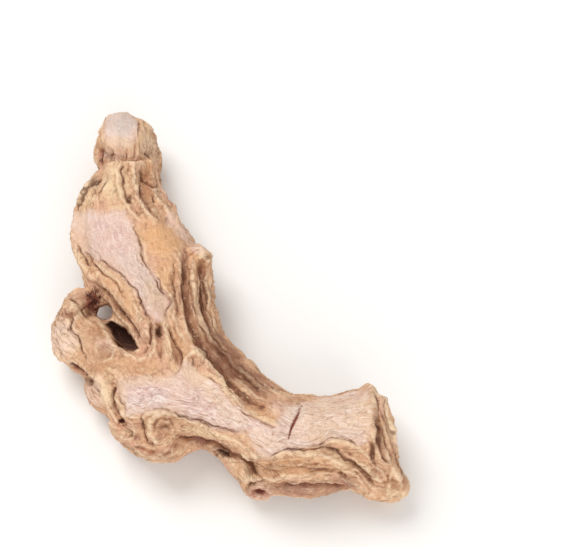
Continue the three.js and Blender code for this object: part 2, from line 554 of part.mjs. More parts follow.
function quadricCost([xx, xy, xz, x, yy, yz, y, zz, z, one], at) {
  const square = xx * at.x * at.x + yy * at.y * at.y + zz * at.z * at.z;
  const cross = xy * at.x * at.y + xz * at.x * at.z + yz * at.y * at.z;
  return square + 2 * (cross + x * at.x + y * at.y + z * at.z) + one;
}

// The point where two vertices meet at least cost, or their middle if that point lies far away.
function meetingPoint(quadric, a, b) {
  const [xx, xy, xz, x, yy, yz, y, zz, z] = quadric;
  const middle = a.clone().lerp(b, 0.5);
  const matrix = new THREE.Matrix3().set(xx, xy, xz, xy, yy, yz, xz, yz, zz);
  if (Math.abs(matrix.determinant()) < 1e-3 * (xx + yy + zz) ** 3 / 27) return middle;
  const best = new THREE.Vector3(-x, -y, -z).applyMatrix3(matrix.invert());
  return best.distanceTo(middle) < a.distanceTo(b) ? best : middle;
}

function areaVector(a, b, c) {
  return new THREE.Vector3().crossVectors(b.clone().sub(a), c.clone().sub(a));
}

// Thins a closed mesh: in rounds, the edges that cost least are each drawn into one point, as long as the
// skin stays closed and no triangle turns over.
function thin(vertices, triangles, wanted) {
  const faces = triangles.map((face) => [...face]);
  const facesOf = vertices.map(() => new Set());
  const quadrics = vertices.map(() => new Float64Array(10));
  faces.forEach((face, f) => {
    const area = areaVector(...face.map((v) => vertices[v]));
    const size = area.length();
    area.normalize();
    for (const v of face) {
      facesOf[v].add(f);
      addPlane(quadrics[v], area, -area.dot(vertices[face[0]]), size);
    }
  });
  const neighbours = (v) => new Set([...facesOf[v]].flatMap((f) => faces[f]).filter((n) => n !== v));
  const turnsOver = (v, other, point) =>
    [...facesOf[v]].some((f) => {
      if (faces[f].includes(other)) return false;
      const before = areaVector(...faces[f].map((n) => vertices[n]));
      const after = areaVector(...faces[f].map((n) => (n === v ? point : vertices[n])));
      return after.dot(before) < 0.4 * after.length() * before.length() || after.length() < 0.02;
    });

  let count = faces.length;
  while (count > wanted) {
    const plans = [];
    faces.forEach((face) => {
      if (!face) return;
      face.forEach((a, n) => {
        const b = face[(n + 1) % 3];
        if (a > b) return;
        const quadric = quadrics[a].map((value, i) => value + quadrics[b][i]);
        const point = meetingPoint(quadric, vertices[a], vertices[b]);
        plans.push({ a, b, quadric, point, cost: quadricCost(quadric, point) + 1e-4 * vertices[a].distanceToSquared(vertices[b]) });
      });
    });
    plans.sort((p, q) => p.cost - q.cost);
    const touched = new Set();
    for (const { a, b, quadric, point } of plans.slice(0, Math.ceil(plans.length / 8))) {
      if (count <= wanted) break;
      if (touched.has(a) || touched.has(b)) continue;
      const around = neighbours(b);
      if ([...neighbours(a)].filter((n) => around.has(n)).length !== 2) continue;
      if (turnsOver(a, b, point) || turnsOver(b, a, point)) continue;
      for (const f of [...facesOf[b]]) {
        if (faces[f].includes(a)) {
          for (const v of faces[f]) facesOf[v].delete(f);
          faces[f] = null;
          count -= 1;
        } else {
          faces[f] = faces[f].map((v) => (v === b ? a : v));
          facesOf[a].add(f);
        }
      }
      vertices[a].copy(point);
      quadrics[a] = quadric;
      touched.add(a).add(b);
    }
  }
  return faces.filter((face) => face);
}

// The root is grown as a net, pressed level where it rests, and thinned.
const room = new THREE.Box3(new THREE.Vector3(-41, -45, -4), new THREE.Vector3(40, 44, 24));
const net = surfaceNet(rootDistance, room, GRID_STEP);
relax(rootDistance, net.vertices, net.quads, RELAX_ROUNDS);
for (const vertex of net.vertices) if (vertex.z < REST_PRESS) vertex.z = 0;
const faces = thin(net.vertices, splitQuads(net), TRIANGLES);
const kept = [...new Set(faces.flat())];
const place = new Map(kept.map((v, n) => [v, n]));
const points = kept.map((v) => net.vertices[v]);
for (const point of points) if (point.z < REST_PRESS) point.z = 0;

const geometry = new THREE.BufferGeometry().setFromPoints(points);
geometry.setIndex(faces.flat().map((v) => place.get(v)));
geometry.computeBoundingBox();
const middle = geometry.boundingBox.getCenter(new THREE.Vector3());
geometry.translate(-middle.x, -middle.y, 0);
geometry.computeVertexNormals();

const driedSkin = new THREE.MeshStandardMaterial({ name: "dried_skin", color: 0xd3a77f, roughness: 0.86, metalness: 0 });
const root = new THREE.Mesh(geometry, driedSkin);
root.name = "rhizome";

const ginger = new THREE.Group();
ginger.add(root);

export default ginger;
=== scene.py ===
"""A dried, peeled ginger rhizome on a pale studio floor."""
import math
import bpy
import numpy as np
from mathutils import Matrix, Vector


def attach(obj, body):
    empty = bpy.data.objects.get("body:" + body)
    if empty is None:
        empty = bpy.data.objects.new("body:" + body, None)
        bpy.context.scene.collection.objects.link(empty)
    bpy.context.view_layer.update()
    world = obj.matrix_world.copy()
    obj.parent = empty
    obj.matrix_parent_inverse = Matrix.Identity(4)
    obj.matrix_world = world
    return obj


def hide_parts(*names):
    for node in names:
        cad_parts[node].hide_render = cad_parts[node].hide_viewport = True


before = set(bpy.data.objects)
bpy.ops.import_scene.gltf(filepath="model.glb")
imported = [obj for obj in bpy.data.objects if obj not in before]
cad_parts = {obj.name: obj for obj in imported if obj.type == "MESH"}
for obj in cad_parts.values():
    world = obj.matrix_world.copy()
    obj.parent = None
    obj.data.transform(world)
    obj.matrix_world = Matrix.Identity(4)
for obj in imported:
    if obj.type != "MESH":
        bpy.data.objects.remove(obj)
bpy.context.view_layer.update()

MM = 0.001

# The camera: the picture's size in pixels, lens and sensor in mm, how far the camera looks down, and the
# point it looks at, in mm. One pixel covers PIXEL mm at that point.
PICTURE = (577, 547)
LENS, SENSOR = 100.0, 36.0
LOOK_DOWN = math.radians(65)
LOOK_AT = np.array([11.64, 5.55, 8.0])
PIXEL = 0.2
TO_CAMERA = np.array([0.0, -math.cos(LOOK_DOWN), math.sin(LOOK_DOWN)])
UPWARDS = np.array([0.0, math.sin(LOOK_DOWN), math.cos(LOOK_DOWN)])
CAMERA_AT = LOOK_AT + TO_CAMERA * (LENS / SENSOR * PICTURE[0] * PIXEL)

# Edge lengths in mm that the skin is split down to: on the side that the camera sees, and elsewhere.
SEEN_EDGE, HIDDEN_EDGE = 0.42, 0.62
SPLIT_ROUNDS = 3
# Corners of the solid are told apart to this many parts of a mm.
SNAPS_PER_MM = 2000
# How many times values are evened over the skin: for the solid's facets, for the way that relief rises, for
# how the underside lies, and around a fine and a broad hollow.
FACET_ROUNDS, RISE_ROUNDS, LIE_ROUNDS, FINE_ROUNDS, BROAD_ROUNDS = 6, 24, 40, 4, 30
# The root rests below the first of these heights in mm and has its whole relief above the second. The skin
# is on the picture from the first to the second cosine between it and the way to the camera.
RESTING_HEIGHTS = (0.05, 0.7)
FACING_COSINES = (0.0, 0.32)
# The mean radius of a limb in mm, on which lengthwise fibres and folds are laid out, and how far apart on
# their pattern the limbs start, so that no two are alike.
GIRTH, LIMB_SPACING = 7.5, 17.3
# How sharply one limb hands over to the next.
LIMB_SHARPNESS = 9.0

# Heights in mm. Folds, wrinkles and hairlines have one on a flat side and gain another on a flank. The skin
# stands above the peeled faces, and its cut edge curls up.
FOLD, FOLD_ON_FLANK = 0.12, 0.34
WRINKLE, WRINKLE_ON_FLANK = 0.10, 0.12
HAIRLINE, HAIRLINE_ON_FLANK, HAIRLINE_PEELED = 0.05, 0.05, 0.03
CRUMPLE, CRUMPLE_PEELED = 0.1, 0.05
SKIN_EDGE, CURL = 0.12, 0.14
CRACK_DEPTH, SLOT_DEPTH = 0.4, 3.6
# What the heights of LINES are multiplied by.
LINE_GAIN = 1.35
# A thin dark line fades out over INK_REACH pixels, and distances to lines are kept up to LINE_REACH pixels.
INK_REACH, LINE_REACH = 2.6, 9
# A corner that faces the camera more than this takes its look from the picture.
SEEN = 0.3
FAR_AWAY = 1e9
# Underneath, the skin is peeled where it faces down by more than PEELED_LIE, give or take a broad noise,
# and that times LIE_TO_PIXELS stands for a distance in pixels.
PEELED_LIE, LIE_TO_PIXELS = 0.92, 20

# The hole behind the lobe: its middle in mm at a height of HOLE_HEIGHT, how far it leans per mm of height,
# and how much its rim opens.
THROUGH_HOLE, HOLE_HEIGHT = np.array([-25.1, -2.6]), 6
HOLE_LEAN, HOLE_FLARE = np.array([0.1, 0.25]), 0.45
# Frayed fibres: their radius, and how deep under the skin they start, in mm.
FIBRE_RADIUS, FIBRE_ROOT = 0.24, 0.25

# The floor's side in metres, and how far it lies under the root in mm.
FLOOR_SIDE, FLOOR_GAP = 6.0, 0.02

# Spines of the limbs in mm: x, y, height of the middle, half width, half height.
ARM = [(-22.9, 36.6, 9.1, 4.2, 5.1), (-22.2, 33.4, 8.1, 5.8, 7.3), (-21.2, 28.4, 7.5, 5.1, 7.3),
       (-22.2, 22.0, 8.8, 7.3, 7.4), (-21.4, 15.7, 9.9, 9.4, 7.3), (-18.3, 8.6, 10.3, 10.0, 7.3),
       (-15.2, 1.7, 10.4, 9.9, 7.2), (-12.3, -5.5, 10.3, 8.8, 6.9), (-9.5, -12.4, 10.3, 7.8, 6.7),
       (-7.1, -19.1, 10.3, 7.2, 6.7)]
RUN = [(-18.1, -20.8, 7.9, 6.6, 6.5), (-14.1, -22.4, 8.0, 8.4, 7.8), (-8.9, -23.2, 9.3, 7.6, 7.3),
       (-3.3, -23.9, 10.4, 6.5, 6.6), (2.4, -26.4, 10.4, 7.5, 6.6), (8.1, -29.6, 9.8, 8.4, 7.0),
       (13.8, -30.6, 9.4, 8.3, 7.2), (20.4, -30.0, 8.8, 7.8, 7.6), (26.1, -29.2, 8.3, 8.9, 8.1),
       (29.7, -29.8, 8.0, 9.4, 7.8)]
LOBE = [(-16.5, -19.2, 8.5, 6.0, 6.1), (-22.3, -14.0, 8.0, 5.6, 5.4), (-26.7, -9.7, 7.4, 5.7, 5.4),
        (-29.9, -6.8, 7.1, 5.1, 4.7)]

LIMB_NAMES = ("arm", "run", "lobe")

# Places on the picture are (right, down) in pixels. They land on the skin that lies behind them.
# Peeled faces: the skin is scraped off inside these outlines.
PEELED = {
    "arm": [
        (72, 214), (91, 211), (104, 213), (117, 209), (127, 211), (131, 221), (137, 230), (140, 241),
        (143, 254), (147, 265), (156, 276), (161, 288), (169, 299), (168, 311), (162, 321), (157, 322),
        (150, 318), (145, 310), (141, 300), (135, 291), (127, 281), (118, 273), (110, 267), (101, 261),
        (84, 253), (76, 243), (71, 228),
    ],
    "run": [
        (117, 388), (129, 381), (143, 379), (155, 378), (168, 377), (180, 373), (184, 362), (192, 364),
        (200, 372), (213, 381), (222, 393), (231, 401), (240, 409), (250, 416), (265, 422), (278, 427),
        (281, 416), (287, 406), (301, 402), (317, 400), (330, 395), (344, 389), (357, 384), (366, 388),
        (370, 400), (374, 416), (372, 430), (366, 441), (357, 445), (344, 440), (328, 439), (317, 446),
        (296, 450), (281, 452), (268, 455), (258, 453), (254, 444), (247, 433), (232, 431), (212, 427),
        (193, 419), (178, 412), (161, 407), (150, 410), (142, 415), (128, 414), (122, 402),
    ],
    "bud": [
        (104, 122), (106, 112), (112, 104), (127, 102), (135, 111), (139, 122), (139, 132), (137, 142),
        (133, 148), (124, 150), (114, 149), (107, 144), (104, 133),
    ],
}

# Places where the peeled faces run out softly into the skin.
SOFT_EDGES = [
    (148, 379, 36, 9, -3, 1.0), (367, 410, 12, 32, -6, 1.0), (285, 412, 14, 16, 0, 1.0),
    (104, 213, 34, 7, 0, 1.0), (200, 372, 14, 10, 30, 0.6), (121, 147, 22, 9, 0, 1.0),
    (145, 262, 8, 20, -20, 0.6),
]

# Ridges (height above 0) and furrows (below 0): height in mm, half width in pixels, and the line.
LINES = [
    (-0.55, 3.4, [(184, 252), (184, 294), (187, 316), (195, 338), (206, 353), (216, 367), (231, 385),
        (245, 398), (262, 406)]),
    (0.35, 2.0, [(193, 262), (192, 279), (194, 309), (201, 329), (214, 344), (229, 361), (246, 379),
        (263, 392), (281, 401)]),
    (-0.35, 1.8, [(200, 268), (199, 290), (202, 312), (209, 333), (222, 350), (238, 366), (256, 381),
        (274, 392)]),
    (0.35, 2.0, [(207, 260), (206, 287), (207, 313), (215, 338), (229, 357), (244, 372), (265, 388)]),
    (0.3, 1.8, [(178, 250), (179, 270), (181, 290), (182, 310), (186, 330), (193, 344)]),
    (-0.3, 1.6, [(172, 262), (173, 280), (175, 300), (178, 318)]),
    (0.4, 1.9, [(198, 350), (190, 354), (186, 359), (183, 369)]),
    (0.45, 2.1, [(198, 350), (203, 357), (211, 367), (219, 375), (224, 388), (233, 398), (243, 404)]),
    (-0.3, 1.5, [(193, 356), (193, 366)]),
    (0.4, 1.9, [(103, 378), (108, 392), (113, 406), (121, 412), (131, 416), (143, 418), (152, 413),
        (172, 412), (190, 420), (205, 428), (225, 437), (243, 446), (256, 454)]),
    (-0.45, 2.6, [(178, 438), (190, 437), (203, 439), (213, 444), (228, 450), (240, 458)]),
    (0.45, 2.1, [(246, 456), (261, 456), (277, 454), (290, 453), (306, 454), (321, 456), (334, 459),
        (344, 463), (354, 469), (361, 475), (371, 485), (384, 496)]),
    (0.4, 2.0, [(250, 480), (264, 480), (276, 479), (283, 475), (295, 476), (309, 476), (322, 474),
        (334, 473), (346, 478), (360, 486), (372, 493)]),
    (-0.5, 3.2, [(272, 487), (285, 485), (300, 485), (318, 484), (335, 482), (352, 488)]),
    (0.3, 1.7, [(262, 466), (280, 467), (300, 464), (318, 466), (333, 468)]),
    (-0.35, 2.2, [(250, 460), (253, 468), (258, 474)]),
    (0.4, 2.0, [(234, 455), (240, 459), (245, 465), (249, 477), (256, 479)]),
    (0.4, 1.8, [(337, 450), (348, 453), (357, 459), (366, 467), (371, 473), (378, 480), (384, 487)]),
    (-0.35, 1.7, [(330, 450), (344, 456), (354, 463), (365, 475), (373, 484)]),
    (0.35, 1.7, [(357, 446), (366, 453), (374, 463), (382, 473), (387, 484)]),
    (-0.5, 1.5, [(370, 441), (371, 448), (372, 458), (377, 465)]),
    (0.4, 1.8, [(369, 386), (373, 400), (376, 412), (374, 425), (380, 440), (386, 455), (392, 468)]),
    (-0.5, 1.4, [(373, 417), (377, 429), (377, 444), (384, 458), (390, 464)]),
    (0.4, 1.9, [(378, 386), (383, 402), (388, 420), (394, 440), (401, 458), (407, 478)]),
    (-0.35, 1.6, [(380, 410), (385, 428), (391, 446), (399, 466), (403, 480)]),
    (0.4, 1.8, [(387, 490), (390, 479), (393, 469), (398, 479), (402, 490)]),
    (0.3, 1.6, [(330, 462), (345, 468), (356, 477), (366, 486)]),
    (0.4, 2.0, [(101, 381), (104, 392), (108, 404), (114, 416), (118, 426)]),
    (-0.5, 1.5, [(116, 385), (114, 396), (116, 407), (121, 414), (124, 424)]),
    (0.32, 2.2, [(168, 443), (158, 443), (151, 435), (151, 424), (156, 416), (165, 413), (174, 417)]),
    (0.14, 1.7, [(157, 436), (156, 427), (162, 421), (169, 423)]),
    (-0.12, 1.4, [(154, 432), (154, 424), (160, 418), (169, 419), (174, 427)]),
    (-0.1, 1.3, [(160, 432), (163, 426), (169, 428), (168, 435)]),
    (0.45, 1.9, [(249, 491), (252, 486), (259, 484), (267, 486), (270, 491), (266, 496), (257, 497),
        (249, 491)]),
    (-0.4, 1.2, [(247, 484), (257, 481), (269, 482)]),
    (-0.45, 1.5, [(142, 415), (143, 424), (145, 434), (148, 443)]),
    (0.4, 1.8, [(126, 424), (133, 427), (135, 433), (131, 438), (124, 438), (120, 433)]),
    (-0.45, 1.4, [(121, 442), (130, 449), (142, 458), (152, 461)]),
    (-0.35, 1.5, [(133, 446), (145, 449), (155, 452)]),
    (0.35, 1.8, [(98, 316), (103, 330), (113, 345), (126, 356), (140, 361), (152, 354)]),
    (0.2, 1.6, [(95, 352), (96, 344), (102, 341), (110, 343), (114, 350), (111, 358), (104, 361),
        (97, 358)]),
    (-0.3, 1.5, [(92, 303), (84, 307), (76, 314), (68, 318)]),
    (0.4, 1.9, [(92, 298), (82, 305), (73, 313)]),
    (-0.4, 1.3, [(71, 321), (72, 330), (80, 340), (82, 352), (88, 362)]),
    (-0.6, 2.8, [(70, 363), (79, 369), (87, 376), (92, 386)]),
    (0.35, 1.8, [(58, 353), (69, 361), (80, 366), (90, 375), (98, 383)]),
    (-0.5, 1.6, [(102, 149), (101, 158), (103, 166)]),
    (0.2, 1.6, [(104, 167), (112, 164), (121, 163), (136, 164), (150, 162), (157, 156)]),
    (0.25, 2.4, [(112, 155), (122, 156), (134, 156), (144, 153)]),
    (-0.16, 1.2, [(118, 160), (127, 161), (138, 161), (150, 160)]),
    (-0.45, 1.2, [(127, 148), (127, 154), (127, 160)]),
    (-0.5, 1.3, [(137, 146), (135, 152), (133, 158)]),
    (-0.3, 1.0, [(141, 146), (143, 153), (150, 156)]),
    (-0.3, 1.0, [(112, 151), (114, 157)]),
    (-0.35, 1.0, [(139, 119), (140, 128), (140, 138)]),
    (-0.3, 1.0, [(143, 124), (148, 129), (153, 135)]),
    (-0.5, 1.5, [(122, 164), (122, 175), (124, 186), (127, 197), (134, 206)]),
    (0.45, 1.7, [(117, 168), (118, 182), (121, 196), (129, 208), (138, 222)]),
    (0.5, 1.8, [(134, 165), (133, 182), (137, 197), (146, 211), (155, 221)]),
    (-0.4, 1.5, [(139, 186), (142, 197), (150, 209), (160, 220)]),
    (-0.45, 1.3, [(142, 170), (142, 181), (147, 184), (156, 189)]),
    (-0.35, 1.3, [(153, 192), (154, 202)]),
    (0.35, 1.7, [(150, 165), (152, 180), (156, 196), (165, 212), (176, 224)]),
    (-0.3, 1.6, [(108, 172), (105, 184), (99, 196)]),
    (0.4, 1.8, [(100, 172), (91, 184), (82, 196), (76, 208)]),
    (0.4, 1.8, [(75, 248), (81, 260), (89, 272)]),
    (-0.3, 1.3, [(97, 178), (88, 190), (80, 204), (76, 213)]),
    (-0.3, 1.2, [(77, 244), (84, 256), (92, 268)]),
    (-0.3, 1.0, [(84, 250), (90, 258), (98, 268), (104, 276)]),
    (0.3, 2.4, [(92, 256), (101, 266), (113, 277), (124, 288), (133, 300), (140, 314), (147, 326)]),
    (-0.4, 1.1, [(97, 256), (108, 265), (119, 273), (128, 281), (136, 291), (141, 301), (146, 313),
        (151, 322)]),
    (-0.12, 1.0, [(94, 266), (106, 276), (118, 288), (127, 301)]),
    (-0.4, 1.5, [(97, 282), (109, 295), (121, 309), (133, 325), (142, 340)]),
    (0.35, 1.6, [(100, 294), (112, 305), (123, 319), (133, 334), (140, 346)]),
    (-0.4, 1.4, [(138, 229), (140, 242), (145, 263), (155, 279), (162, 291), (169, 301), (167, 311),
        (162, 321)]),
    (0.3, 1.6, [(160, 300), (170, 294), (172, 310), (176, 326), (184, 340)]),
    (-0.6, 1.5, [(151, 325), (152, 336), (150, 346)]),
    (-0.55, 2.2, [(159, 326), (161, 336)]),
    (-0.5, 1.4, [(169, 326), (175, 343), (181, 356), (181, 369)]),
    (0.35, 1.6, [(165, 322), (167, 338), (171, 352), (174, 366)]),
    (0.35, 1.6, [(155, 322), (156, 338), (155, 352), (148, 362)]),
    (-0.35, 1.2, [(237, 408), (250, 416), (265, 423), (280, 429)]),
    (-0.35, 1.2, [(150, 409), (161, 407), (178, 413), (193, 418), (212, 426), (232, 430), (247, 432)]),
    (-0.35, 1.2, [(268, 455), (282, 451), (296, 449), (312, 450), (326, 447), (344, 453)]),
    (-0.3, 1.2, [(317, 447), (328, 437), (344, 437), (357, 445)]),
    (-0.3, 1.0, [(72, 316), (71, 325), (69, 333)]),
    (-0.35, 1.1, [(189, 262), (190, 285), (193, 305), (199, 325), (208, 342)]),
    (0.25, 1.3, [(192, 262), (194, 285), (197, 305), (203, 324), (212, 340), (222, 352), (236, 367)]),
    (-0.3, 1.1, [(204, 268), (204, 290), (206, 308), (212, 326), (222, 340)]),
    (-0.3, 1.0, [(206, 352), (216, 363), (228, 377), (242, 392), (256, 402)]),
    (0.25, 1.2, [(210, 350), (220, 361), (232, 374), (246, 388), (262, 399)]),
    (-0.3, 1.0, [(213, 347), (225, 360), (238, 373), (252, 386), (268, 396)]),
    (0.25, 1.2, [(232, 361), (246, 376), (262, 388), (280, 396)]),
    (-0.25, 1.0, [(238, 362), (252, 377), (268, 388), (284, 393)]),
    (-0.25, 1.0, [(380, 392), (384, 410), (388, 428), (393, 446), (399, 466)]),
    (-0.1, 1.0, [(57, 327), (66, 334), (75, 338), (80, 345)]),
    (0.3, 1.6, [(50, 322), (58, 312), (70, 303), (80, 298)]),
    (-0.4, 1.3, [(79, 302), (82, 310), (87, 317)]),
]

# Scratches on the peeled faces: thin dark lines with no depth of their own.
SCRATCHES = [
    [(89, 246), (93, 250), (99, 254), (104, 260)],
    [(111, 263), (114, 267), (113, 271), (117, 272)],
    [(128, 242), (131, 246), (135, 251)],
    [(134, 252), (139, 257), (142, 265), (149, 272)],
    [(127, 261), (136, 266), (143, 272), (149, 279), (152, 288), (158, 295)],
    [(137, 275), (144, 281), (150, 290), (153, 300), (158, 309)],
    [(146, 282), (152, 286), (158, 293), (163, 300)],
    [(132, 279), (140, 286), (146, 296), (150, 307)],
    [(126, 402), (130, 404), (137, 407)],
    [(212, 392), (222, 399), (233, 406)],
    [(186, 408), (199, 415), (212, 420), (226, 424)],
    [(262, 436), (274, 440), (286, 444)],
    [(268, 428), (282, 434), (296, 438)],
    [(310, 424), (322, 422), (336, 425)],
    [(318, 414), (332, 411), (345, 406)],
    [(300, 442), (312, 440), (325, 434)],
    [(340, 398), (348, 395), (357, 396)],
    [(345, 418), (356, 415), (364, 412)],
    [(334, 432), (346, 431), (357, 434)],
]

# The crack across the front run: a narrow line, widest in its middle.
CRACK = [(302, 405), (299, 412), (296, 418), (293, 424), (290, 432), (288, 440)]

# Holes and dents: centre, half sizes in pixels, turn in degrees, depth in mm.
HOLES = [
    (223, 454, 8.0, 2.6, 12, 1.0), (259, 491, 4.4, 2.1, 5, 0.9), (121, 421, 2.8, 2.4, 0, 0.8),
    (95, 183, 6.0, 2.2, -30, 0.45), (129, 200, 2.0, 5.0, 15, 0.35), (139, 189, 1.8, 4.0, 0, 0.4),
    (76, 366, 6.0, 2.4, 35, 0.6), (92, 304, 4.0, 6.0, 10, 0.5), (208, 258, 2.6, 2.2, 0, 0.3),
    (104, 352, 8.0, 7.4, 0, 0.1), (160, 330, 1.6, 3.4, 0, 0.45), (373, 452, 1.4, 7.0, -10, 0.4),
]

# Frayed fibres: centre and half sizes in pixels, how many, the longest in mm, and which way they lean.
FRAYS = [
    (91, 301, 5, 6, 46, 2.3, (0.0, 1.0, 0.4)), (94, 309, 3, 5, 20, 1.4, (0.2, 0.6, 0.5)),
    (121, 422, 4, 3, 7, 0.9, (-0.3, -0.2, 0.6)),
]

# Places where the skin swells out a little from the solid, or is drawn in: x, y, height, radius and rise in
# mm, and the way that the skin faces there.
SWELLINGS = [
    (-31.5, -3.6, 6.5, 4.6, 1.6, (-0.9, 0.4, 0.2)), (-29.0, -1.0, 7.5, 4.2, 2.0, (-0.6, 0.75, 0.3)),
    (-13.4, 30.8, 7.5, 4.6, -1.0, (1.0, 0.0, 0.0)), (-16.6, 38.0, 9.0, 3.4, 1.2, (0.8, 0.5, 0.3)),
]

# The outline of the slot behind the lobe, where shade is painted dark.
SLOT = [
    (107, 326), (110, 322), (117, 324), (124, 330), (132, 339), (139, 350), (133, 353), (126, 352),
    (118, 346), (112, 337),
]
